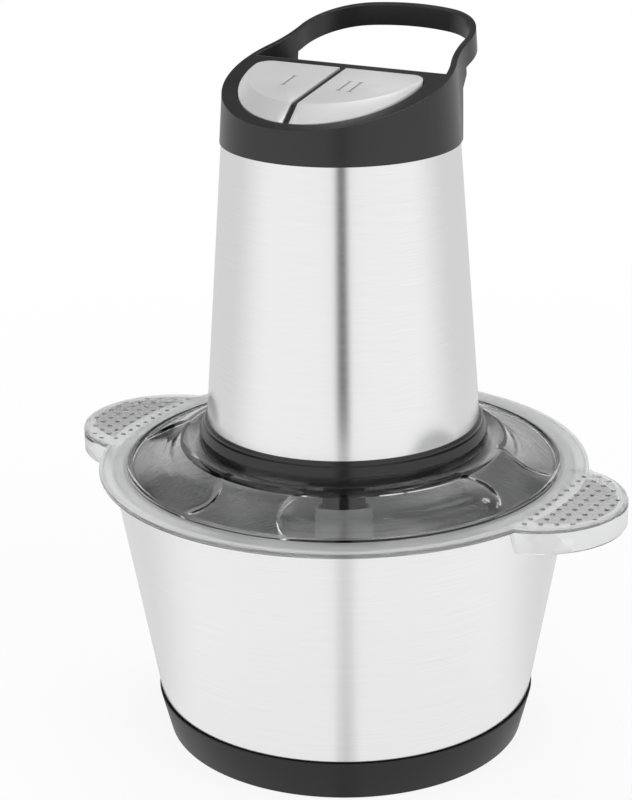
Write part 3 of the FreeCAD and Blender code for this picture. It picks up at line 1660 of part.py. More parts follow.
node("switch_plate", cut("plate_body", plate_disc, *plate_holes))

# Buttons with springs and switches under them
Z_LOW = Z_COVER
Z_KEY = Z_SEAT + S.switch_height + S.switch_key_height
button_block = prism("button_block", "XY_Plane", button_outline(), HIGH - Z_LOW, Z_LOW)
bevel_rise = 4 * S.deck_thickness
bevel_foot = BUTTON_RADIUS + S.button_bevel_edge
bevel = doc.addObject("Part::Cone", "button_bevel")
bevel.Placement = Placement(Vector(0, 0, 0), Rotation(Vector(1, 0, 0), 1))
bind(bevel, "Placement.Rotation.Angle", slope_angle(S.deck_slope))
bind(bevel, "Radius1", bevel_foot)
bind(bevel, "Radius2", bevel_foot - bevel_rise * S.button_bevel_width / S.button_bevel_height)
bind(bevel, "Height", bevel_rise)
bind(bevel, "Placement.Base.y", S.button_centre)
bind(bevel, "Placement.Base.z", deck(S.button_centre))
below_deck = side_prism(
    "below_deck", [(-WIDE, Z_SHELL), (WIDE, Z_SHELL), (WIDE, deck(WIDE)), (-WIDE, deck(-WIDE))], 2 * WIDE
)
button_round = common("button_round", button_block, fuse("button_form", bevel, below_deck))
button_over = side_prism(
    "button_over",
    [(-WIDE, button_top(-WIDE)), (WIDE, button_top(WIDE)), (WIDE, HIGH), (-WIDE, HIGH)],
    2 * WIDE,
)
button_under = side_prism(
    "button_under",
    [
        (-WIDE, Z_SHELL),
        (WIDE, Z_SHELL),
        (WIDE, deck(WIDE, S.button_skirt)),
        (-WIDE, deck(-WIDE, S.button_skirt)),
    ],
    2 * WIDE,
)
room_back = S.button_back - S.button_wall
room_centre = S.button_room_centre
button_room = common(
    "button_room",
    side_prism(
        "room_side",
        [
            (-WIDE, Z_SHELL),
            (room_back, Z_SHELL),
            (room_back, button_top(room_back, S.button_top_wall)),
            (-WIDE, button_top(-WIDE, S.button_top_wall)),
        ],
        2 * WIDE,
    ),
    cylinder("room_round", BUTTON_RADIUS - S.button_room_margin, Z_SHELL, HIGH, 0, room_centre),
    box("room_half", (S.button_split / 2 + S.button_wall, WIDE), (-WIDE, WIDE), (Z_SHELL, HIGH)),
)
lip_top = S.deck_thickness + S.fit_gap
lip_slab = side_prism(
    "lip_slab",
    [
        (-WIDE, deck(-WIDE, S.button_skirt)),
        (S.button_lip_start, deck(S.button_lip_start, S.button_skirt)),
        (S.button_lip_start, deck(S.button_lip_start, lip_top)),
        (-WIDE, deck(-WIDE, lip_top)),
    ],
    2 * WIDE,
)
lip_outside = cylinder(
    "lip_outside", BUTTON_RADIUS + S.button_lip_width, Z_SHELL, Z_DECK, 0, S.button_centre
)
lip_inside = cylinder("lip_inside", BUTTON_RADIUS - S.button_lip_margin, Z_SHELL, HIGH, 0, room_centre)
lip_half = box("lip_half", (S.button_split / 2, WIDE), (-WIDE, 0), (Z_SHELL, Z_DECK))
button_lip = cut("button_lip", common("lip_ring", lip_slab, lip_outside, lip_half), lip_inside)
button_shell = cut("button_shell", button_round, button_over, button_under, button_room)
spring_boss = cylinder(
    "spring_boss",
    S.spring_radius + S.spring_rim,
    Z_SEAT + S.spring_length,
    button_top(S.spring_y, OVER),
    S.spring_x,
    S.spring_y,
)
switch_post = cylinder(
    "switch_post",
    S.switch_post_radius,
    Z_KEY + S.button_travel + S.switch_gap,
    button_top(S.switch_y, OVER),
    S.spring_x,
    S.switch_y,
)
button_2 = node("button_2", fuse("button_right", button_shell, button_lip, spring_boss, switch_post))
node("button_1", mirror("button_left", button_2))


def centred(middle, width):
    return (middle - width / 2, middle + width / 2)


key_width = S.switch_key_width
switch = fuse(
    "switch_right",
    box(
        "switch_case",
        centred(S.spring_x, S.switch_length),
        centred(S.switch_y, S.switch_width),
        (Z_SEAT, Z_SEAT + S.switch_height),
    ),
    box(
        "switch_key",
        centred(S.spring_x, key_width),
        centred(S.switch_y, key_width),
        (Z_SEAT + S.switch_height - OVER, Z_KEY),
    ),
)
node("micro_switches", group("switch_set", switch, mirror("switch_left", switch)))

coil_height = S.spring_length - 2 * S.spring_wire
spring_helix = doc.addObject("Part::Helix", "spring_helix")
bind(spring_helix, "Radius", S.spring_radius)
bind(spring_helix, "Pitch", coil_height / SPRING_TURNS)
bind(spring_helix, "Height", coil_height)
spring_section = doc.addObject("Part::Circle", "spring_section")
bind(spring_section, "Radius", S.spring_wire)
spring_section.Placement = Placement(Vector(0, 0, 0), Rotation(Vector(1, 0, 0), 90))
bind(spring_section, "Placement.Base.x", S.spring_radius)
spring_coil = doc.addObject("Part::Sweep", "spring_coil")
spring_coil.Sections = [spring_section]
spring_coil.Spine = (spring_helix, ["Edge1"])
spring_coil.Solid = True
spring_coil.Frenet = True
bind(spring_coil, "Placement.Base.x", S.spring_x)
bind(spring_coil, "Placement.Base.y", S.spring_y)
bind(spring_coil, "Placement.Base.z", Z_SEAT + S.spring_wire)
node("spring_2", spring_coil)
node("spring_1", mirror("spring_left", spring_coil))

doc.recompute()
for name, thing in NODES.items():
    shape = thing.Shape
    bad = shape.isNull() or not shape.isValid() or not shape.Solids
    if bad or "Invalid" in thing.State or "Error" in thing.State:
        raise ValueError(f"{name} did not build: {thing.State}")
    shape.exportStep(f"parts/{name}.step")
    box_size = shape.BoundBox
    print(
        f"{name}: {len(shape.Solids)} solid, {shape.Volume / 1000:.2f} cm3, "
        f"z {box_size.ZMin:.1f} to {box_size.ZMax:.1f}"
    )
print(f"{len(NODES)} nodes written")
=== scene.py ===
# %% [markdown]
# # Electric food chopper, dressed for the camera
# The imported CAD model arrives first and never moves. It gives every piece its place and its body.
# This lesson gives the chopper its looks: brushed steel, clear plastic, satin black and silver.
# Blender works in metres. Profiles are written in millimetres, from the same origin as the CAD.

# %% Load the frame
import math

import bmesh
import bpy
from mathutils import Matrix, Vector


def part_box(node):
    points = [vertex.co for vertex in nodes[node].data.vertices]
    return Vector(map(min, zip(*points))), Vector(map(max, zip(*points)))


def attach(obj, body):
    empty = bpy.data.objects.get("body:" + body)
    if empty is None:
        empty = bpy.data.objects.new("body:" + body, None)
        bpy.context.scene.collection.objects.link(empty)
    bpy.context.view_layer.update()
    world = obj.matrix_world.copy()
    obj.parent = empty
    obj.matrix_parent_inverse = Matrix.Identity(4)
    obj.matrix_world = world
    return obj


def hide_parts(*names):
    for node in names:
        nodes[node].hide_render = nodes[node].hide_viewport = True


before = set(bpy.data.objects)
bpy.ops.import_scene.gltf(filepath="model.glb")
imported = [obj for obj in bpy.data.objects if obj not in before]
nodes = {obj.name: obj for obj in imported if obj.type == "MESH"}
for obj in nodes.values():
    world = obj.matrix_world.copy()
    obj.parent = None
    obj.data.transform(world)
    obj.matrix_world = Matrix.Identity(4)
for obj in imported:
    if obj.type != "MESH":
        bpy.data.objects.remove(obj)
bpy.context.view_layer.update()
scene = bpy.context.scene
MM = 0.001
TURN = 2 * math.pi

# %% [markdown]
# ## Making meshes
# Most of this machine is turned: a profile of radius and height, swept round the Z axis. A helper
# rounds the profile's corners first, because every real edge catches a thin line of light.

# %% Rounded corners
SIDE_SHARE = 0.49
STRAIGHT = math.pi / 2 - 0.01


def rounded(points, steps=5):
    """Rounds each (r, z, radius) corner of a closed profile given in millimetres.

    A corner takes at most SIDE_SHARE of each side, and a nearly straight one stays as it is.
    """
    made = []
    count = len(points)
    for index, point in enumerate(points):
        here = Vector(point[:2])
        radius = point[2] if len(point) > 2 else 0
        before = Vector(points[index - 1][:2])
        after = Vector(points[(index + 1) % count][:2])
        back, ahead = (before - here).normalized(), (after - here).normalized()
        half = math.acos(max(-1, min(1, back.dot(ahead)))) / 2
        if radius <= 0 or half > STRAIGHT:
            made.append(here)
            continue
        shorter = min((before - here).length, (after - here).length)
        reach = min(radius / math.tan(half), shorter * SIDE_SHARE)
        radius = reach * math.tan(half)
        centre = here + (back + ahead).normalized() * (radius / math.sin(half))
        first = here + back * reach - centre
        last = here + ahead * reach - centre
        sweep = first.angle_signed(last)
        for step in range(steps + 1):
            turn = -sweep * step / steps
            across = first.x * math.cos(turn) - first.y * math.sin(turn)
            height = first.x * math.sin(turn) + first.y * math.cos(turn)
            made.append(centre + Vector((across, height)))
    return [(point.x, point.y) for point in made]


print("a rounded square has", len(rounded([(0, 0, 1), (4, 0, 1), (4, 4, 1), (0, 4, 1)])), "points")

# %% Turned pieces


def add_object(name, vertices, faces, smooth_angle=35):
    """Makes one mesh object, smooth except across real edges."""
    mesh = bpy.data.meshes.new(name)
    mesh.from_pydata(vertices, [], faces)
    mesh.validate()
    builder = bmesh.new()
    builder.from_mesh(mesh)
    bmesh.ops.remove_doubles(builder, verts=builder.verts, dist=1e-7)
    bmesh.ops.recalc_face_normals(builder, faces=builder.faces)
    builder.to_mesh(mesh)
    builder.free()
    mesh.shade_smooth()
    mesh.set_sharp_from_angle(angle=math.radians(smooth_angle))
    piece = bpy.data.objects.new(name, mesh)
    scene.collection.objects.link(piece)
    return piece


def swept(name, loop_at, columns=256, smooth_angle=35):
    """Sweeps a closed loop of (radius, height) in metres round Z; loop_at(angle) gives the loop."""
    vertices, faces = [], []
    size = len(loop_at(0.0))
    for column in range(columns):
        angle = TURN * column / columns
        for radius, height in loop_at(angle):
            vertices.append((radius * math.cos(angle), radius * math.sin(angle), height))
    for column in range(columns):
        here, there = column * size, (column + 1) % columns * size
        for row in range(size):
            ahead = (row + 1) % size
            faces.append((here + row, there + row, there + ahead, here + ahead))
    return add_object(name, vertices, faces, smooth_angle)


def turned(name, points, columns=256, smooth_angle=35):
    """A turned piece from a closed profile in millimetres, corners rounded where a radius is given."""
    loop = [(max(r, 0) * MM, z * MM) for r, z in rounded(points)]
    return swept(name, lambda angle: loop, columns, smooth_angle)


# %% [markdown]
# ## Copies of CAD nodes
# A node from the CAD is made of flat triangles. A copy joins those that lie in one plane again, so
# that a Bevel modifier finds the real edges and gives each a small radius.

# %% Softened copies and dressing
DOUBLES = 2e-6
FLAT_ANGLE = math.radians(1)
EDGE_ANGLE = math.radians(28)


def plain_mesh(piece):
    """Applies every modifier of a piece, so that what is left is one plain mesh."""
    bpy.context.view_layer.update()
    graph = bpy.context.evaluated_depsgraph_get()
    made = bpy.data.meshes.new_from_object(piece.evaluated_get(graph), depsgraph=graph)
    piece.modifiers.clear()
    piece.data = made
    return piece


def softened(name, node, width, segments=3, smooth_angle=35, gap=0.0):
    """A copy of a CAD node: doubles merged, flat faces joined, and every edge given a small radius.

    A gap in millimetres moves the side next to the middle plane outward to that distance.
    """
    builder = bmesh.new()
    builder.from_mesh(nodes[node].data)
    bmesh.ops.remove_doubles(builder, verts=builder.verts, dist=DOUBLES)
    bmesh.ops.dissolve_limit(builder, angle_limit=FLAT_ANGLE, verts=builder.verts, edges=builder.edges)
    builder.verts.index_update()
    for vertex in builder.verts:
        if abs(vertex.co.x) < gap * MM:
            vertex.co.x = math.copysign(gap * MM, vertex.co.x)
    vertices = [tuple(vertex.co) for vertex in builder.verts]
    faces = [[vertex.index for vertex in face.verts] for face in builder.faces]
    builder.free()
    piece = add_object(name, vertices, faces, smooth_angle)
    bevel = piece.modifiers.new("edge", "BEVEL")
    bevel.width = width * MM
    bevel.segments = segments
    bevel.limit_method = "ANGLE"
    bevel.angle_limit = EDGE_ANGLE
    plain_mesh(piece)
    piece.data.shade_smooth()
    piece.data.set_sharp_from_angle(angle=math.radians(smooth_angle))
    return piece


def dress(piece, material, body, *replaced, slot=None):
    """Gives a piece its finish, its body and the CAD nodes that it stands for."""
    piece.data.materials.clear()
    piece.data.materials.append(material)
    if replaced:
        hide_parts(*replaced)
    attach(piece, body)
    print(piece.name, len(piece.data.polygons), "faces on", body)


# %% [markdown]
# ## Shader groups
# Several finishes share the same effects: lines left by brushing, a slight unevenness, and the
# fine grain of moulded plastic. Each is one node group with named inputs.

# %% Node tree helpers


def new_group(name, inputs, outputs):
    group = bpy.data.node_groups.new(name, "ShaderNodeTree")
    for label, kind, value in inputs:
        socket = group.interface.new_socket(label, in_out="INPUT", socket_type=kind)
        if value is not None:
            socket.default_value = value
    for label, kind in outputs:
        group.interface.new_socket(label, in_out="OUTPUT", socket_type=kind)
    start = group.nodes.new("NodeGroupInput")
    end = group.nodes.new("NodeGroupOutput")
    return group, start, end


def feed(tree, socket, value):
    """Sets a socket to a plain value, or links another socket to it."""
    if isinstance(value, (int, float, tuple)):
        socket.default_value = value
    else:
        tree.links.new(value, socket)


def math_node(tree, operation, *values):
    node = tree.nodes.new("ShaderNodeMath")
    node.operation = operation
    for socket, value in zip(node.inputs, values):
        feed(tree, socket, value)
    return node.outputs[0]


def parts_of(tree, vector):
    """X, Y and Z of a vector."""
    node = tree.nodes.new("ShaderNodeSeparateXYZ")
    tree.links.new(vector, node.inputs[0])
    return node.outputs[0], node.outputs[1], node.outputs[2]


def combined(tree, *values):
    """A vector from X, Y and Z."""
    node = tree.nodes.new("ShaderNodeCombineXYZ")
    for socket, value in zip(node.inputs, values):
        feed(tree, socket, value)
    return node.outputs[0]


def length_of(tree, first, second):
    """Distance from the origin to a point that is given by two values."""
    squares = math_node(tree, "ADD", math_node(tree, "MULTIPLY", first, first),
                        math_node(tree, "MULTIPLY", second, second))
    return math_node(tree, "SQRT", squares)


def mapped(tree, value, from_low, from_high, to_low=0.0, to_high=1.0):
    """Stretches one range of values to another."""
    node = tree.nodes.new("ShaderNodeMapRange")
    ends = {"From Min": from_low, "From Max": from_high, "To Min": to_low, "To Max": to_high}
    for label, end in ends.items():
        node.inputs[label].default_value = end
    tree.links.new(value, node.inputs["Value"])
    return node.outputs["Result"]


MIX_SHARE, MIX_FIRST, MIX_SECOND, MIX_RESULT = 0, 6, 7, 2


def mixed(tree, share, first, second, blend="MIX"):
    """Two colours mixed by a share. The numbers above are the Mix node's sockets for colours."""
    node = tree.nodes.new("ShaderNodeMix")
    node.data_type = "RGBA"
    node.blend_type = blend
    feed(tree, node.inputs[MIX_SHARE], share)
    feed(tree, node.inputs[MIX_FIRST], first)
    feed(tree, node.inputs[MIX_SECOND], second)
    return node.outputs[MIX_RESULT]


def noise(tree, vector, scale, detail=2.0, roughness=0.5):
    node = tree.nodes.new("ShaderNodeTexNoise")
    node.inputs["Detail"].default_value = detail
    node.inputs["Roughness"].default_value = roughness
    tree.links.new(vector, node.inputs["Vector"])
    feed(tree, node.inputs["Scale"], scale)
    return node.outputs["Fac"]


# %% Brushing group: long lines round the axis


def brushing_group():
    group, start, end = new_group(
        "round_brushing",
        [("Position", "NodeSocketVector", None), ("Fineness", "NodeSocketFloat", 2600.0),
         ("Line Length", "NodeSocketFloat", 12.0)],
        [("Lines", "NodeSocketFloat"), ("Patches", "NodeSocketFloat")],
    )
    east, north, height = parts_of(group, start.outputs["Position"])
    turn = math_node(group, "ARCTAN2", east, north)
    side = math_node(group, "MULTIPLY", math_node(group, "SINE", turn), start.outputs["Line Length"])
    front = math_node(group, "MULTIPLY", math_node(group, "COSINE", turn), start.outputs["Line Length"])
    stretched = combined(group, side, front, math_node(group, "MULTIPLY", height, start.outputs["Fineness"]))
    group.links.new(noise(group, stretched, 1.0, 5.0, 0.65), end.inputs["Lines"])
    group.links.new(noise(group, start.outputs["Position"], 22.0, 3.0), end.inputs["Patches"])
    return group


# %% Grain group: the skin of moulded plastic and rubber


def grain_group():
    group, start, end = new_group(
        "moulded_grain",
        [("Position", "NodeSocketVector", None), ("Grain Scale", "NodeSocketFloat", 2200.0),
         ("Patch Scale", "NodeSocketFloat", 30.0)],
        [("Grain", "NodeSocketFloat"), ("Patches", "NodeSocketFloat")],
    )
    group.links.new(noise(group, start.outputs["Position"], start.outputs["Grain Scale"], 2.0),
                    end.inputs["Grain"])
    group.links.new(noise(group, start.outputs["Position"], start.outputs["Patch Scale"], 3.0),
                    end.inputs["Patches"])
    return group


# %% Inside group: the inner side of the tapered bowl


def inside_group():
    group, start, end = new_group(
        "bowl_inside",
        [("Position", "NodeSocketVector", None), ("Foot Radius", "NodeSocketFloat", 0.0780),
         ("Taper", "NodeSocketFloat", 0.1733)],
        [("Mask", "NodeSocketFloat")],
    )
    east, north, height = parts_of(group, start.outputs["Position"])
    wall = math_node(group, "MULTIPLY_ADD", height, start.outputs["Taper"], start.outputs["Foot Radius"])
    inner = math_node(group, "LESS_THAN", length_of(group, east, north), wall)
    group.links.new(inner, end.inputs["Mask"])
    return group


# %% Make the groups
BRUSHING = brushing_group()
GRAIN = grain_group()
INSIDE = inside_group()
print("groups:", BRUSHING.name, GRAIN.name, INSIDE.name)

# %% [markdown]
# ## Building a material
# Every finish starts as a Principled BSDF. A mask from a group then varies its colour between two
# near shades, its roughness between two values, and lifts its surface a little.

# %% Material helpers
NOISE_RANGE = 0.25, 0.75
SHADE_RANGE = 0.3, 0.7


def new_material(name, **sockets):
    """A material with its Principled BSDF set; names with underscores stand for the socket names."""
    material = bpy.data.materials.new(name)
    material.use_nodes = True
    shader = material.node_tree.nodes["Principled BSDF"]
    for key, value in sockets.items():
        label = key.replace("_", " ")
        if isinstance(value, tuple):
            value = (*value, 1.0)
        shader.inputs[label].default_value = value
    return material, shader


def position(material):
    return material.node_tree.nodes.new("ShaderNodeTexCoord").outputs["Object"]


def use_group(material, group, **values):
    node = material.node_tree.nodes.new("ShaderNodeGroup")
    node.node_tree = group
    material.node_tree.links.new(position(material), node.inputs["Position"])
    for key, value in values.items():
        node.inputs[key.replace("_", " ")].default_value = value
    return node


def spread(material, value, low, high, target):
    """Maps a mask between two values of a socket."""
    tree = material.node_tree
    tree.links.new(mapped(tree, value, *NOISE_RANGE, low, high), target)


def tint(material, value, dark, light, target):
    """Colours between two shades by a mask."""
    ramp = material.node_tree.nodes.new("ShaderNodeValToRGB")
    for element, place, shade in zip(ramp.color_ramp.elements, SHADE_RANGE, (dark, light)):
        element.position = place
        element.color = (*shade, 1)
    material.node_tree.links.new(value, ramp.inputs["Fac"])
    material.node_tree.links.new(ramp.outputs["Color"], target)


def bump(material, height, strength, distance, shader, edge=0.0):
    """Relief from a mask; where an edge radius is given, a Bevel node rounds sharp CAD edges too."""
    node = material.node_tree.nodes.new("ShaderNodeBump")
    node.inputs["Strength"].default_value = strength
    node.inputs["Distance"].default_value = distance
    material.node_tree.links.new(height, node.inputs["Height"])
    if edge:
        rim = material.node_tree.nodes.new("ShaderNodeBevel")
        rim.samples = 6
        rim.inputs["Radius"].default_value = edge
        material.node_tree.links.new(rim.outputs["Normal"], node.inputs["Normal"])
    material.node_tree.links.new(node.outputs["Normal"], shader.inputs["Normal"])


# %% [markdown]
# ## Brushed steel
# The bowl and the motor's shell are stainless sheet, brushed round the axis. The lines are noise
# stretched round the turn and squeezed along the height. They change the shade, the roughness and
# a very shallow bump together, as real scratches do.

# %% Steel
STEEL_SHADES = (0.84, 0.84, 0.84), (0.90, 0.90, 0.897)
STEEL_ROUGH = 0.14, 0.20
LINE_FINENESS = 5200.0
LINE_LENGTH = 3.0
LINE_DEPTH = 0.025


def brushed_steel(name, lining=0.0):
    """Steel brushed round the axis; where a lining is given, the inner side is duller by that much."""
    material, shader = new_material(name, Metallic=1.0)
    tree = material.node_tree
    lines = use_group(material, BRUSHING, Fineness=LINE_FINENESS, Line_Length=LINE_LENGTH)
    tint(material, lines.outputs["Lines"], *STEEL_SHADES, shader.inputs["Base Color"])
    spread(material, lines.outputs["Lines"], *STEEL_ROUGH, shader.inputs["Roughness"])
    if lining:
        inner = use_group(material, INSIDE)
        dull = math_node(tree, "MULTIPLY", inner.outputs["Mask"], lining)
        plain = shader.inputs["Roughness"].links[0].from_socket
        tree.links.new(math_node(tree, "ADD", plain, dull), shader.inputs["Roughness"])
    bump(material, lines.outputs["Lines"], LINE_DEPTH, 0.0002, shader)
    return material


STEEL = brushed_steel("steel_brushed")
BOWL_STEEL = brushed_steel("steel_bowl", lining=0.10)
print("steels:", STEEL.name, BOWL_STEEL.name)


# %% [markdown]
# ## Plastics and rubber
# The cover is satin black, the base ring is glossier and the foot duller. The buttons are satin
# silver. The blade unit and the pieces inside the head use the same helper with other values.

# %% Moulded finishes


def moulded(name, dark, light, rough, grain=2200.0, depth=0.1, metallic=0.0, coat=0.0, edge=0.0, shine=0.5):
    """A finish with a fine grain; dark and light are its two shades, rough its two roughnesses."""
    material, shader = new_material(name, Metallic=metallic, Coat_Weight=coat, Specular_IOR_Level=shine)
    skin = use_group(material, GRAIN, Grain_Scale=grain)
    tint(material, skin.outputs["Patches"], dark, light, shader.inputs["Base Color"])
    spread(material, skin.outputs["Patches"], *rough, shader.inputs["Roughness"])
    bump(material, skin.outputs["Grain"], depth, 0.0001, shader, edge)
    return material


COVER = moulded("cover_satin", (0.013, 0.013, 0.014), (0.017, 0.017, 0.018), (0.28, 0.34),
                grain=2600.0, depth=0.08, edge=0.0006)
BLACK = moulded("base_gloss", (0.010, 0.010, 0.011), (0.014, 0.014, 0.015), (0.16, 0.22),
                grain=1800.0, depth=0.03)
FOOT = moulded("foot_dark", (0.011, 0.011, 0.012), (0.015, 0.015, 0.016), (0.40, 0.48),
               grain=2600.0, depth=0.12, shine=0.32)
SILVER = moulded("button_silver", (0.68, 0.68, 0.68), (0.73, 0.73, 0.73), (0.34, 0.42),
                 grain=5200.0, depth=0.20, metallic=0.35)
GREY = moulded("stem_grey", (0.88, 0.885, 0.89), (0.91, 0.915, 0.92), (0.35, 0.45))
RUBBER = moulded("seal_pale", (0.84, 0.845, 0.85), (0.88, 0.885, 0.89), (0.45, 0.55))
# Painted shade: this grey fills the engraved strokes and stands in for the shade in their grooves.
GROOVE_SHADE = moulded("stroke_grey", (0.30, 0.30, 0.30), (0.34, 0.34, 0.34), (0.45, 0.55))
DARK = moulded("inner_dark", (0.030, 0.030, 0.032), (0.040, 0.040, 0.043), (0.40, 0.50))
CARBON = moulded("brush_carbon", (0.02, 0.02, 0.02), (0.03, 0.03, 0.03), (0.50, 0.60))
print("plastics and rubber:", COVER.name, BLACK.name, FOOT.name, SILVER.name, RUBBER.name)

# %% Other metals
COPPER = moulded("coil_copper", (0.42, 0.13, 0.05), (0.55, 0.20, 0.08), (0.25, 0.35),
                 grain=1500.0, depth=0.3, metallic=0.9, coat=0.3)
IRON = moulded("stacked_iron", (0.10, 0.10, 0.11), (0.16, 0.16, 0.17), (0.40, 0.50),
               grain=1800.0, depth=0.2, metallic=0.8)
BRONZE = moulded("bush_bronze", (0.42, 0.26, 0.12), (0.50, 0.32, 0.15), (0.35, 0.45),
                 grain=1800.0, depth=0.2, metallic=0.9)
ZINC = moulded("cast_zinc", (0.42, 0.42, 0.44), (0.50, 0.50, 0.52), (0.40, 0.50),
               grain=1500.0, depth=0.2, metallic=0.9)
PLATED = moulded("plated_steel", (0.55, 0.55, 0.56), (0.62, 0.62, 0.63), (0.20, 0.30),
                 grain=2000.0, depth=0.05, metallic=1.0)
BLADE = moulded("blade_steel", (0.62, 0.62, 0.63), (0.72, 0.72, 0.73), (0.14, 0.24),
                grain=1600.0, depth=0.08, metallic=1.0)
print("metals:", COPPER.name, IRON.name, BRONZE.name, ZINC.name, PLATED.name, BLADE.name)

# %% [markdown]
# ## Clear plastic
# The lid is clear. It bends light like the real thing, so it is a closed wall with real thickness.
# The level faces of its flange and lugs are a little frosted.

# %% Leaf group: masks of the greyer, grained leaf in each lug and of the flange round the dome


def leaf_group():
    group, start, end = new_group(
        "lug_leaf",
        [("Position", "NodeSocketVector", None), ("Leaf Centre", "NodeSocketFloat", 0.0982),
         ("Leaf Radius", "NodeSocketFloat", 0.0265), ("Rim Radius", "NodeSocketFloat", 0.1047),
         ("Flange Start", "NodeSocketFloat", 0.0932)],
        [("Leaf", "NodeSocketFloat"), ("Flange", "NodeSocketFloat")],
    )
    across, ahead, _ = parts_of(group, start.outputs["Position"])
    aside = math_node(group, "ABSOLUTE", across)
    from_centre = math_node(group, "SUBTRACT", aside, start.outputs["Leaf Centre"])
    from_leaf = length_of(group, from_centre, ahead)
    from_axis = length_of(group, across, ahead)
    inside = math_node(group, "LESS_THAN", from_leaf, start.outputs["Leaf Radius"])
    outside = math_node(group, "GREATER_THAN", from_axis, start.outputs["Rim Radius"])
    flange = math_node(group, "GREATER_THAN", from_axis, start.outputs["Flange Start"])
    group.links.new(math_node(group, "MULTIPLY", inside, outside), end.inputs["Leaf"])
    group.links.new(flange, end.inputs["Flange"])
    return group


LEAF = leaf_group()
print("group:", LEAF.name)

# %% Clear lid material


def clear_plastic(name, pale, leaf, transmission, frosting=0.0):
    """Clear plastic; the leaf in each lug is greyer, and a flange can be frosted to this roughness."""
    material, shader = new_material(name, Transmission_Weight=transmission, IOR=1.49, Metallic=0.0)
    tree = material.node_tree
    zones = use_group(material, LEAF)
    skin = use_group(material, GRAIN, Grain_Scale=900.0, Patch_Scale=60.0)
    shade = mixed(tree, zones.outputs["Leaf"], (*pale, 1), (*leaf, 1))
    tree.links.new(shade, shader.inputs["Base Color"])
    frost = math_node(tree, "MULTIPLY", zones.outputs["Flange"], frosting)
    patches = math_node(tree, "MULTIPLY", skin.outputs["Patches"], 0.02)
    tree.links.new(math_node(tree, "ADD", frost, patches), shader.inputs["Roughness"])
    grained = math_node(tree, "MULTIPLY", zones.outputs["Leaf"], skin.outputs["Grain"])
    bump(material, grained, 0.5, 0.0003, shader)
    return material


CLEAR = clear_plastic("lid_clear", (0.985, 0.988, 0.99), (0.86, 0.86, 0.865), 1.0)
FROST = clear_plastic("lid_frosted", (0.95, 0.955, 0.96), (0.70, 0.70, 0.705), 0.66, 0.20)
# Painted shade: the studs' grey tint stands in for their darker look through refraction.
STUD_PAINTED_SHADE = clear_plastic("lug_dot", (0.66, 0.66, 0.67), (0.66, 0.66, 0.67), 1.0)
print("clear plastic ready")

# %% [markdown]
# ## Steel bowl and shell
# The CAD solids have the right size. These stand in for them with finer walls: a rolled rim on the
# bowl and hems on the shell, turned from rounded profiles.

# %% Bowl
bowl = turned(
    "steel_bowl",
    [
        (0, 6.0), (79.3, 6.0, 12), (98.62, 117.4), (99.9, 117.9, 0.7), (99.95, 119.75, 0.9),
        (98.0, 119.8, 0.8), (97.9, 118.0), (78.6, 6.8, 11.2), (0, 6.8),
    ],
    320,
)
dress(bowl, BOWL_STEEL, "bowl", "bowl", slot="steel")

# %% Shell
shell = turned(
    "steel_shell",
    [(57.2, 142.0), (58.0, 142.0, 0.3), (49.0, 261.0, 0.3), (48.2, 261.0)],
    320,
)
dress(shell, STEEL, "head", "motor_shell", slot="steel")

# %% [markdown]
# ## Foot and base ring
# The foot is a plain tapered ring with a soft top edge. The base ring bulges: a rounded belly
# between two fine steps.

# %% Foot ring
foot = turned(
    "foot_turned",
    [
        (58, 0, 0.5), (77.8, 0, 1.2), (82.4, 18.4, 0.5), (81.75, 18.4, 0.2), (80.9, 12.5), (76.5, 7.2, 3),
        (68.0, 6.0), (58, 6.0, 0.5),
    ],
    320,
)
dress(foot, FOOT, "bowl", "foot_ring", slot="black_plastic")

# %% Base ring
base = turned(
    "base_ring",
    [
        (11.6, 122.4, 0.3), (14.4, 122.4, 0.6), (14.4, 130.4, 0.6), (60.6, 130.4, 0.8), (60.9, 131.4, 0.3),
        (61.2, 131.9, 0.5), (61.25, 137.0, 3.5), (60.1, 140.2, 1.2), (59.3, 140.6, 0.3), (59.0, 142.0, 0.5),
        (56.6, 142.0), (56.6, 147.0, 0.4), (54.2, 147.0, 0.4), (54.2, 133.4, 1.0), (11.6, 133.4),
    ],
    320,
)
dress(base, BLACK, "head", "motor_base", slot="black_plastic")

# %% [markdown]
# ## Scalloped lid
# The lid's dome has four hollows with a land between each pair, a flat seat for the motor head, a
# flange that rests on the bowl, and two round lugs to lift it by. One closed profile, swept round
# while it changes with the angle, gives all of these in one clean wall.

# %% Lid shape
LID_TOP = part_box("lid")[1].z / MM
LID_RIM = 104.7
LUG_CENTRE = 91.0
LUG_RADIUS = 37.4
LUG_BLEND = 1.6
FROST_START = 93.1
FLANGE_LOW = 119.9
FLANGE_DROP = 10.7
LUG_DROP = 10.2
LUG_LOW = LID_TOP - FLANGE_DROP - LUG_DROP
CREASE = 69.5
DOME_FOOT = 90.4
DOME_STEPS = 22
WALL = 2.0
WALL_LEAN = 0.9
SCOOP_HALF = math.radians(30)
SCOOP_BOW = math.radians(4)
SCOOP_EASE = math.radians(5)
SCOOP_CURVE = 2.2
LAND = [(69.5, 132.4), (71.0, 132.0), (77.0, 129.3), (83.0, 126.1), (90.4, 122.1)]
SCOOP = [
    (69.5, 132.4), (70.6, 131.2), (74.0, 127.2), (78.0, 124.7),
    (83.0, 123.3), (87.5, 122.6), (90.4, 122.1),
]
print("lid top", round(LID_TOP, 2), "lugs down to", round(LUG_LOW, 2))

# %% Lid helpers


def along(table, radius):
    """Height at a radius, read from a short table of radius and height."""
    if radius <= table[0][0]:
        return table[0][1]
    for (near, near_height), (far, far_height) in zip(table, table[1:]):
        if radius <= far:
            share = (radius - near) / (far - near)
            return near_height + (far_height - near_height) * share
    return table[-1][1]


def clamped(share):
    return max(0.0, min(1.0, share))


def ease(share):
    share = clamped(share)
    return share * share * (3 - 2 * share)


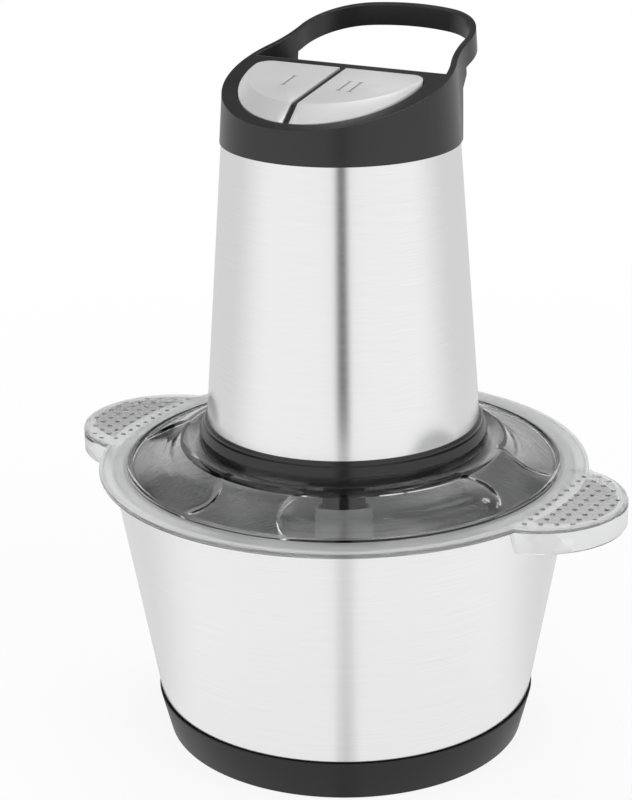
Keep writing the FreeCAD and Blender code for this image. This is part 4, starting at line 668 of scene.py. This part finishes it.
def scoop_share(angle, radius):
    """1 in a hollow, 0 on a land. A hollow is bowed like a lens, crisp at the land, soft at its floor."""
    quarter = (angle % (TURN / 4)) - TURN / 8
    middle = math.sin(math.pi * clamped((radius - CREASE) / (DOME_FOOT - CREASE)))
    share = clamped((SCOOP_HALF + SCOOP_BOW * middle - abs(quarter)) / SCOOP_EASE)
    return 1 - (1 - share) ** SCOOP_CURVE


def rim_radius(angle):
    """Edge of the lid, drawn out round the two lugs, and how far it is a lug's edge, 0 to 1."""
    side = abs(((angle + math.pi / 2) % math.pi) - math.pi / 2)
    reach = LUG_CENTRE * math.sin(side)
    if reach >= LUG_RADIUS:
        return LID_RIM, 0.0
    lug = LUG_CENTRE * math.cos(side) + math.sqrt(LUG_RADIUS ** 2 - reach ** 2)
    return max(LID_RIM, lug), ease((lug - LID_RIM) / LUG_BLEND)


# %% Lid
DOME_RADII = [CREASE + (DOME_FOOT - CREASE) * step / DOME_STEPS for step in range(DOME_STEPS + 1)]


def lid_loop(angle):
    """The wall's section at an angle: seat, dome, flange, rim, skirt and back under the dome."""
    top = []
    for radius in DOME_RADII:
        share = scoop_share(angle, radius)
        height = along(LAND, radius) * (1 - share) + along(SCOOP, radius) * share
        top.append((radius, height))
    rim, lug = rim_radius(angle)
    low = FLANGE_LOW - lug * (FLANGE_LOW - LUG_LOW)
    under = [(radius - WALL_LEAN, height - WALL) for radius, height in reversed(top[:-1])]
    loop = [
        (17.0, 119.8), (17.0, 130.2), (17.3, 130.4), (60.9, 130.4), (61.4, 130.6),
        (61.5, 132.0), (62.0, 132.4),
    ]
    loop += top
    loop += [
        (90.6, 122.5), (91.0, 122.8), (92.4, 122.8), (92.8, 122.5), (93.0, 121.8),
        (rim - 4.6, 121.8), (rim - 3.4, 122.05), (rim - 1.2, 122.05), (rim - 0.35, 121.8), (rim, 121.0),
        (rim, low + 0.5), (rim - 0.3, low), (rim - 1.7, low), (rim - 2.0, low + 0.3),
        (rim - 2.2, FLANGE_LOW), (94.6, FLANGE_LOW), (94.2, 119.5), (94.2, 112.2), (93.8, 111.9),
        (92.2, 111.9), (91.8, 112.2), (91.6, 119.0), (90.6, FLANGE_LOW),
    ]
    loop += under
    loop += [(62.0, 128.2), (19.8, 128.2), (19.4, 127.8), (19.4, 120.1), (19.1, 119.8)]
    return [(radius * MM, height * MM) for radius, height in loop]


lid = swept("clear_lid", lid_loop, 720, 40)
dress(lid, CLEAR, "lid", "lid", slot="clear_plastic")
lid.data.materials.append(FROST)
for face in lid.data.polygons:
    flat = abs(face.normal.z) > 0.8
    if flat and math.hypot(face.center.x, face.center.y) > FROST_START * MM:
        face.material_index = 1

# %% [markdown]
# ## Seal
# A soft pale seal sits in the lid's skirt. Its lip presses on the bowl's wall, and its flat top fills
# the corner under the flange, which makes the flange look pale from above.

# %% Seal
seal = turned(
    "pale_seal",
    [
        (94.25, 113.8, 0.3), (96.4, 113.8, 0.6), (96.4, 117.6, 0.6), (95.6, 118.2, 0.3), (95.6, 118.9, 0.2),
        (97.7, 118.9, 0.3), (97.7, 119.8, 0.3), (94.25, 119.8, 0.2),
    ],
    256,
)
dress(seal, RUBBER, "lid", "lid_seal", slot="seal_rubber")

# %% [markdown]
# ## Dots on the lugs
# Small round studs stop the fingers from slipping. They stand in staggered rows, so Geometry Nodes
# make them: two grids of points, one shifted by half a step, cut to the round lug, with one flat
# stud on each point, and the same again turned half round for the other lug.

# %% Geometry Nodes helpers


def geometry_tree(name, inputs):
    tree = bpy.data.node_groups.new(name, "GeometryNodeTree")
    for label, kind, value in inputs:
        tree.interface.new_socket(label, in_out="INPUT", socket_type=kind).default_value = value
    tree.interface.new_socket("Geometry", in_out="OUTPUT", socket_type="NodeSocketGeometry")
    return tree, tree.nodes.new("NodeGroupInput"), tree.nodes.new("NodeGroupOutput")


def grown(name, tree, **values):
    """Runs a tree on an empty object and keeps its result as a plain mesh."""
    piece = bpy.data.objects.new(name, bpy.data.meshes.new(name))
    scene.collection.objects.link(piece)
    grower = piece.modifiers.new("grow", "NODES")
    grower.node_group = tree
    for item in tree.interface.items_tree:
        key = item.name.replace(" ", "_")
        if item.in_out == "INPUT" and key in values:
            grower[item.identifier] = values[key]
    plain_mesh(piece)
    print(name, len(piece.data.polygons), "faces grown")
    return piece


def vector_math(tree, operation, first, second):
    node = tree.nodes.new("ShaderNodeVectorMath")
    node.operation = operation
    feed(tree, node.inputs[0], first)
    feed(tree, node.inputs[1], second)
    return node.outputs["Value"] if operation == "LENGTH" else node.outputs["Vector"]


# %% Stud tree
GRID_ROWS = 3
GRID_STUDS = 11
STUD_SHIFT = 0.17
STUD_FLATNESS = 0.35


def stud_tree():
    tree, start, end = geometry_tree(
        "lug_studs",
        [("Row Step", "NodeSocketFloat", 0.0057), ("Stud Step", "NodeSocketFloat", 0.0058),
         ("Stud Radius", "NodeSocketFloat", 0.0011), ("First Row", "NodeSocketFloat", 0.0997),
         ("Height", "NodeSocketFloat", 0.1219), ("Lug Centre", "NodeSocketFloat", 0.091),
         ("Lug Reach", "NodeSocketFloat", 0.0345)],
    )
    rows = math_node(tree, "MULTIPLY", start.outputs["Row Step"], 2.0 * (GRID_ROWS - 1))
    studs = math_node(tree, "MULTIPLY", start.outputs["Stud Step"], float(GRID_STUDS - 1))
    joined = tree.nodes.new("GeometryNodeJoinGeometry")
    for shift in (0.0, 1.0):
        grid = tree.nodes.new("GeometryNodeMeshGrid")
        grid.inputs["Vertices X"].default_value = GRID_ROWS
        grid.inputs["Vertices Y"].default_value = GRID_STUDS
        tree.links.new(rows, grid.inputs["Size X"])
        tree.links.new(studs, grid.inputs["Size Y"])
        place = tree.nodes.new("GeometryNodeTransform")
        middle = math_node(tree, "MULTIPLY", start.outputs["Row Step"], GRID_ROWS - 1 + shift)
        middle = math_node(tree, "ADD", middle, start.outputs["First Row"])
        side = math_node(tree, "MULTIPLY", start.outputs["Stud Step"], shift / 2 - STUD_SHIFT)
        tree.links.new(grid.outputs["Mesh"], place.inputs["Geometry"])
        tree.links.new(combined(tree, middle, side, start.outputs["Height"]), place.inputs["Translation"])
        tree.links.new(place.outputs["Geometry"], joined.inputs["Geometry"])
    here = tree.nodes.new("GeometryNodeInputPosition")
    centre = combined(tree, start.outputs["Lug Centre"], 0.0, start.outputs["Height"])
    far = vector_math(tree, "LENGTH", vector_math(tree, "SUBTRACT", here.outputs[0], centre), (0, 0, 0))
    outside = math_node(tree, "GREATER_THAN", far, start.outputs["Lug Reach"])
    trimmed = tree.nodes.new("GeometryNodeDeleteGeometry")
    tree.links.new(joined.outputs[0], trimmed.inputs["Geometry"])
    tree.links.new(outside, trimmed.inputs["Selection"])
    stud = tree.nodes.new("GeometryNodeMeshUVSphere")
    stud.inputs["Segments"].default_value = 12
    stud.inputs["Rings"].default_value = 6
    tree.links.new(start.outputs["Stud Radius"], stud.inputs["Radius"])
    spread_out = tree.nodes.new("GeometryNodeInstanceOnPoints")
    spread_out.inputs["Scale"].default_value = (1.0, 1.0, STUD_FLATNESS)
    tree.links.new(trimmed.outputs[0], spread_out.inputs["Points"])
    tree.links.new(stud.outputs["Mesh"], spread_out.inputs["Instance"])
    real = tree.nodes.new("GeometryNodeRealizeInstances")
    tree.links.new(spread_out.outputs[0], real.inputs[0])
    smooth = tree.nodes.new("GeometryNodeSetShadeSmooth")
    tree.links.new(real.outputs[0], smooth.inputs["Geometry"])
    other = tree.nodes.new("GeometryNodeTransform")
    other.inputs["Rotation"].default_value = (0, 0, math.pi)
    tree.links.new(smooth.outputs[0], other.inputs["Geometry"])
    both = tree.nodes.new("GeometryNodeJoinGeometry")
    tree.links.new(smooth.outputs[0], both.inputs[0])
    tree.links.new(other.outputs["Geometry"], both.inputs[0])
    # The studs get the grey-tinted clear plastic, a painted shade.
    finish = tree.nodes.new("GeometryNodeSetMaterial")
    finish.inputs["Material"].default_value = STUD_PAINTED_SHADE
    tree.links.new(both.outputs[0], finish.inputs["Geometry"])
    tree.links.new(finish.outputs[0], end.inputs["Geometry"])
    return tree


# %% Grow the studs
studs = grown("lug_studs", stud_tree(), Stud_Radius=0.0011)
dress(studs, STUD_PAINTED_SHADE, "lid", slot="clear_plastic")

# %% [markdown]
# ## Buttons
# Two silver press buttons share one well. Each has a flat sloping top, a wide bevel in front and soft
# edges. The strokes that tell the two speeds apart are cut in with a Boolean, as an engraving, and
# their floor is filled with grey, a painted shade of the groove.

# %% Sizes of the strokes
BUTTON_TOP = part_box("button_1")[1].z / MM
BUTTON_SLOPE = 0.184
SLOPE_START = 2.4
BUTTON_GAP = 1.45
BUTTON_SIDES = {"button_1": -1, "button_2": 1}
STROKES = {"button_1": [-15.0], "button_2": [10.6, 15.6]}
STROKE_LENGTH = 11.0
STROKE_WIDTH = 1.2
SERIF_LENGTH = 2.5
STROKE_DEPTH = 0.5
STROKE_PLACE = -15.2
# These three sizes place the grey fill, a painted shade, in each stroke's groove.
GROOVE_SHADE_GAP = 0.1
GROOVE_SHADE_TOP = -0.28
GROOVE_SHADE_STEP = 0.02
RING = 24
print("buttons reach up to", round(BUTTON_TOP, 2), "mm")

# %% Engraving helpers


def bar_on_slope(name, x, y, long_x, long_y, low, high):
    """A bar with round ends between two depths under the sloping top of a button."""
    radius = min(long_x, long_y) / 2
    ring = []
    for step in range(RING):
        turn = TURN * (step + 0.5) / RING
        side = (long_x / 2 - radius) * (1 if math.cos(turn) > 0 else -1)
        ahead = (long_y / 2 - radius) * (1 if math.sin(turn) > 0 else -1)
        ring.append((x + side + radius * math.cos(turn), y + ahead + radius * math.sin(turn)))
    vertices = []
    for depth in (low, high):
        for across, place in ring:
            top = BUTTON_TOP + BUTTON_SLOPE * (place - SLOPE_START)
            vertices.append((across * MM, place * MM, (top + depth) * MM))
    faces = [tuple(range(RING - 1, -1, -1)), tuple(range(RING, 2 * RING))]
    for step in range(RING):
        following = (step + 1) % RING
        faces.append((step, following, RING + following, RING + step))
    return add_object(name, vertices, faces)


def bars_of(across):
    """One upright stroke and its two short serifs: place and lengths."""
    end = STROKE_LENGTH / 2 - STROKE_WIDTH / 2
    yield across, STROKE_PLACE, STROKE_WIDTH, STROKE_LENGTH
    for side in (-1, 1):
        yield across, STROKE_PLACE + side * end, SERIF_LENGTH, STROKE_WIDTH * 0.8


def engrave(piece, node, across):
    """Cuts a stroke into a button and fills its floor with grey, a painted shade of the groove."""
    for index, (x, y, long_x, long_y) in enumerate(bars_of(across)):
        cutter = bar_on_slope("stroke_cutter", x, y, long_x, long_y, -STROKE_DEPTH, 2.0)
        carve = piece.modifiers.new("stroke", "BOOLEAN")
        carve.operation = "DIFFERENCE"
        carve.solver = "EXACT"
        carve.object = cutter
        plain_mesh(piece)
        bpy.data.objects.remove(cutter)
        # The grey fill laid in the groove is painted shade.
        top = GROOVE_SHADE_TOP + GROOVE_SHADE_STEP * index
        sizes = (long_x - GROOVE_SHADE_GAP, long_y - GROOVE_SHADE_GAP, -STROKE_DEPTH - 0.2, top)
        paint = bar_on_slope("stroke_paint", x, y, *sizes)
        dress(paint, GROOVE_SHADE, node, slot="silver_plastic")


# %% Make the two buttons
SAMPLE_SIDE = 3.0
SAMPLE_HEIGHT = 0.4
SAMPLE_ROWS = range(-44, 3)
button_tops = {}
for node, strokes in STROKES.items():
    button = softened("silver_" + node, node, 0.5, gap=BUTTON_GAP)
    side = SAMPLE_SIDE * BUTTON_SIDES[node]
    for y in SAMPLE_ROWS:
        hit, place = button.ray_cast((side * MM, y * MM, SAMPLE_HEIGHT), (0, 0, -1))[:2]
        if hit:
            button_tops[y] = place.z / MM
    for across in strokes:
        engrave(button, node, across)
    button.data.shade_smooth()
    button.data.set_sharp_from_angle(angle=math.radians(35))
    dress(button, SILVER, node, node, slot="silver_plastic")

# %% [markdown]
# ## Rib between the buttons
# A black rib of the cover parts the two buttons. The rays that were dropped on the buttons give their
# height row by row, and the rib follows it a little lower.

# %% Rib
RIB_HALF = BUTTON_GAP - 0.2
RIB_BELOW = 0.7
RIB_DEPTH = 5
rows = sorted(button_tops)
rib_vertices = []
for y in rows:
    top = button_tops[y] - RIB_BELOW
    low = top - RIB_DEPTH
    for x, z in ((-RIB_HALF, low), (RIB_HALF, low), (RIB_HALF, top), (-RIB_HALF, top)):
        rib_vertices.append((x * MM, y * MM, z * MM))
last = 4 * (len(rows) - 1)
rib_faces = [(0, 1, 2, 3), (last, last + 3, last + 2, last + 1)]
for row in range(len(rows) - 1):
    here, there = 4 * row, 4 * (row + 1)
    for corner in range(4):
        following = (corner + 1) % 4
        rib_faces.append((here + corner, there + corner, there + following, here + following))
rib = add_object("button_rib", rib_vertices, rib_faces)
dress(rib, COVER, "head", slot="black_plastic")
ends = [round(button_tops[row], 2) for row in (rows[0], rows[-1])]
print("rib rows:", len(rows), "first and last", ends)

# %% [markdown]
# ## Sleeve of the blade unit
# A pale sleeve stands on the nut, round the dark stem. Its rounded top shows through the lid's dome.

# %% Sleeve
sleeve = turned(
    "stem_sleeve",
    [(10.75, 65.6, 0.2), (12.8, 65.6, 0.4), (12.8, 98.6, 1.8), (10.75, 98.6, 0.3)],
    128,
)
dress(sleeve, GREY, "blade", slot="grey_plastic")

# %% [markdown]
# ## Kept solids
# The CAD cover is kept: its collar, deck, recess and handle are right, and its finish rounds the
# edges. The blade unit, its spindle and the pieces inside the head are kept as well, each with a
# finish like the material that it is made of.

# %% Finish the kept solids
FINISHES = [
    (COVER, ["top_cover"]),
    (FOOT, ["cord_gland"]),
    (GREY, ["blade_spacer", "blade_nut", "spindle_base"]),
    (BLADE, ["lower_blade", "upper_blade"]),
    (BRONZE, ["output_bush"]),
    (ZINC, ["motor_bracket"]),
    (IRON, ["stator", "armature_core"]),
    (COPPER, ["field_coils", "armature_windings", "commutator"]),
    (CARBON, ["brushes"]),
    (DARK, ["blade_stem", "gearbox_case", "gearbox_cover", "brush_holders", "switch_plate",
            "micro_switches", "cooling_fan"]),
    (PLATED, ["blade_spindle", "base_screws", "gearbox_screws", "ring_gear", "lower_bearing",
              "upper_bearing", "motor_bolts", "bolt_spacers", "plate_screws", "spring_1", "spring_2",
              "armature_shaft", "sun_pinion", "planet_carrier", "pin_clips", "planet_gear_1",
              "planet_gear_2", "planet_gear_3"]),
]
for material, names in FINISHES:
    for name in names:
        nodes[name].data.materials.clear()
        nodes[name].data.materials.append(material)
print("kept solids:", sum(len(names) for _, names in FINISHES))

# %% [markdown]
# ## Floor, lights and camera
# The machine stands in a white room. Diffuse light is plain and even. What steel and clear plastic
# mirror is drawn apart, with Light Path: two bright sides left and right of the camera with a narrow
# dark gap between them, a duller far side, and no bright sky low behind the machine, so that its
# black deck stays black. The floor fades to white with the distance and keeps a soft shadow.

# %% Room helpers
HEADING = math.radians(30.6475)
AXIS_HEADING = math.radians(29.9)
WHITE = (1, 1, 1, 1)


def ramp(tree, value, stops):
    """Grey steps of a colour ramp, eased between (place, brightness) stops."""
    node = tree.nodes.new("ShaderNodeValToRGB")
    node.color_ramp.interpolation = "EASE"
    elements = node.color_ramp.elements
    while len(elements) < len(stops):
        elements.new(0.5)
    for element, (place, grey) in zip(elements, stops):
        element.position = place
    for element, (place, grey) in zip(elements, stops):
        element.color = (grey, grey, grey, 1)
    tree.links.new(value, node.inputs["Fac"])
    return node.outputs["Color"]


def turned_from_camera(tree, vector):
    """Share of a half turn between a direction and the camera's side, 0 towards it, 1 away; and Z."""
    east, north, high = parts_of(tree, vector)
    sine, cosine = math.sin(AXIS_HEADING), math.cos(AXIS_HEADING)
    front = math_node(tree, "SUBTRACT", math_node(tree, "MULTIPLY", east, sine),
                      math_node(tree, "MULTIPLY", north, cosine))
    side = math_node(tree, "ADD", math_node(tree, "MULTIPLY", east, cosine),
                     math_node(tree, "MULTIPLY", north, sine))
    turn = math_node(tree, "ABSOLUTE", math_node(tree, "ARCTAN2", side, front))
    return math_node(tree, "DIVIDE", turn, math.pi), high


def ray_masks(tree):
    """1 for a mirror's ray; and 1 for a ray from the camera, a mirror or clear plastic."""
    rays = tree.nodes.new("ShaderNodeLightPath")
    mirror = rays.outputs["Is Glossy Ray"]
    direct = math_node(tree, "MAXIMUM", rays.outputs["Is Camera Ray"], mirror)
    return mirror, math_node(tree, "MAXIMUM", direct, rays.outputs["Is Transmission Ray"])


def join_shaders(tree, share, first, second, output):
    """Mixes two shaders by a share and sends the result to the tree's output."""
    node = tree.nodes.new("ShaderNodeMixShader")
    for socket, value in zip(node.inputs, (share, first, second)):
        tree.links.new(value, socket)
    tree.links.new(node.outputs[0], tree.nodes[output].inputs["Surface"])


print("camera heading", round(math.degrees(HEADING), 2), "degrees")

# %% Floor
FLOOR_HALF = 6
FADE = 0.14, 0.75, 0.88, 1.0
NEAR_TO_FAR = 0.35, 0.55
NEAR_GLOW = [(0.0, 0.66), (0.012, 0.76), (0.030, 0.97), (0.36, 0.98), (0.62, 0.76), (1.0, 0.72)]
FAR_GLOW = [(0.0, 0.08), (0.016, 0.12), (0.036, 0.97), (0.36, 0.98), (0.62, 0.74), (1.0, 0.70)]
floor_mesh = bpy.data.meshes.new("floor")
corners = [(x * FLOOR_HALF, y * FLOOR_HALF, 0) for x, y in ((-1, -1), (1, -1), (1, 1), (-1, 1))]
floor_mesh.from_pydata(corners, [], [(0, 1, 2, 3)])
floor = bpy.data.objects.new("floor", floor_mesh)
scene.collection.objects.link(floor)
paint, paint_shader = new_material("floor_white", Base_Color=(0.86, 0.86, 0.86), Roughness=0.7)
tree = paint.node_tree
place = position(paint)
away = vector_math(tree, "LENGTH", place, (0, 0, 0))
turn, _ = turned_from_camera(tree, place)
glow = mixed(tree, mapped(tree, away, *NEAR_TO_FAR), ramp(tree, turn, NEAR_GLOW), ramp(tree, turn, FAR_GLOW))
mirror, direct = ray_masks(tree)
light = tree.nodes.new("ShaderNodeEmission")
tree.links.new(mixed(tree, mirror, WHITE, glow), light.inputs["Color"])
share = math_node(tree, "MULTIPLY", direct, mapped(tree, away, *FADE))
join_shaders(tree, share, paint_shader.outputs[0], light.outputs[0], "Material Output")
floor_mesh.materials.append(paint)
print("floor nodes:", len(tree.nodes))

# %% World
AROUND = [(0.0, 0.08), (0.016, 0.12), (0.036, 0.96), (0.36, 0.98), (0.62, 0.74), (1.0, 0.70)]
NEAR_SKY = [(0.0, 1.0), (0.85, 1.0), (1.0, 0.60)]
FAR_SKY = [(0.0, 1.0), (0.67, 1.0), (0.73, 0.03), (0.92, 0.03), (1.0, 0.45)]
FAR_SIDE = [(0.0, 0.0), (0.40, 0.0), (0.65, 1.0)]
RISE = [(0.50, 0.0), (0.57, 1.0), (1.0, 1.0)]
LIFT = 0.15
world = bpy.data.worlds.new("white_room")
scene.world = world
world.use_nodes = True
tree = world.node_tree
room = tree.nodes["Background"]
room.inputs["Color"].default_value = (0.82, 0.82, 0.82, 1)
room.inputs["Strength"].default_value = 0.75
turn, high = turned_from_camera(tree, tree.nodes.new("ShaderNodeTexCoord").outputs["Generated"])
high = math_node(tree, "MULTIPLY_ADD", high, 0.5, 0.5)
far_side = ramp(tree, turn, FAR_SIDE)
sky = mixed(tree, far_side, ramp(tree, high, NEAR_SKY), ramp(tree, high, FAR_SKY))
mirrored = mixed(tree, 1.0, ramp(tree, turn, AROUND), sky, "MULTIPLY")
mirror, direct = ray_masks(tree)
white = tree.nodes.new("ShaderNodeBackground")
tree.links.new(mixed(tree, mirror, WHITE, mirrored), white.inputs["Color"])
lift = math_node(tree, "MULTIPLY", ramp(tree, high, RISE), far_side)
lift = math_node(tree, "MULTIPLY", lift, mirror)
tree.links.new(math_node(tree, "MULTIPLY_ADD", lift, LIFT, 1.0), white.inputs["Strength"])
join_shaders(tree, direct, room.outputs[0], white.outputs[0], "World Output")
print("world nodes:", len(tree.nodes))

# %% Lights


def panel(name, azimuth, distance, height, wide, tall, power, mirrored=True):
    """A soft panel that faces the machine; azimuth is measured from the camera's side."""
    turn = HEADING + math.radians(azimuth)
    place = Vector((distance * math.sin(turn), -distance * math.cos(turn), height))
    lamp = bpy.data.lights.new(name, "AREA")
    lamp.shape = "RECTANGLE"
    lamp.size = wide
    lamp.size_y = tall
    lamp.energy = power
    holder = bpy.data.objects.new(name, lamp)
    holder.location = place
    holder.rotation_euler = (Vector((0, 0, 0.16)) - place).to_track_quat("-Z", "Y").to_euler()
    holder.visible_glossy = mirrored
    scene.collection.objects.link(holder)
    print(name, "power", power, "W")


panel("left_panel", -50, 1.6, 0.7, 1.2, 1.6, 8, mirrored=False)
panel("right_panel", 50, 1.6, 0.7, 1.2, 1.6, 8, mirrored=False)
panel("top_panel", 180, 0.55, 1.6, 0.62, 0.44, 7)

# %% Camera
PLACE = Vector((0.4400, -0.7652, 0.46307))
PITCH = math.radians(19.650)
ROLL = math.radians(-0.7598)
UPWARD = Vector((0, 0, 1))
camera_data = bpy.data.cameras.new("camera")
camera_data.lens = 99.11
camera_data.sensor_width = 36
camera_data.clip_start = 0.01
camera_data.clip_end = 50
camera = bpy.data.objects.new("camera", camera_data)
right = Vector((math.cos(HEADING), math.sin(HEADING), 0))
level = Vector((-math.sin(HEADING), math.cos(HEADING), 0))
ahead = level * math.cos(PITCH) - UPWARD * math.sin(PITCH)
up = level * math.sin(PITCH) + UPWARD * math.cos(PITCH)
side_axis = right * math.cos(ROLL) + up * math.sin(ROLL)
up_axis = up * math.cos(ROLL) - right * math.sin(ROLL)
axes = Matrix((side_axis, up_axis, -ahead)).transposed().to_4x4()
axes.translation = PLACE
camera.matrix_world = axes
scene.collection.objects.link(camera)
scene.camera = camera
scene.view_settings.view_transform = "Standard"
print("camera lens", round(camera_data.lens, 2), "mm")
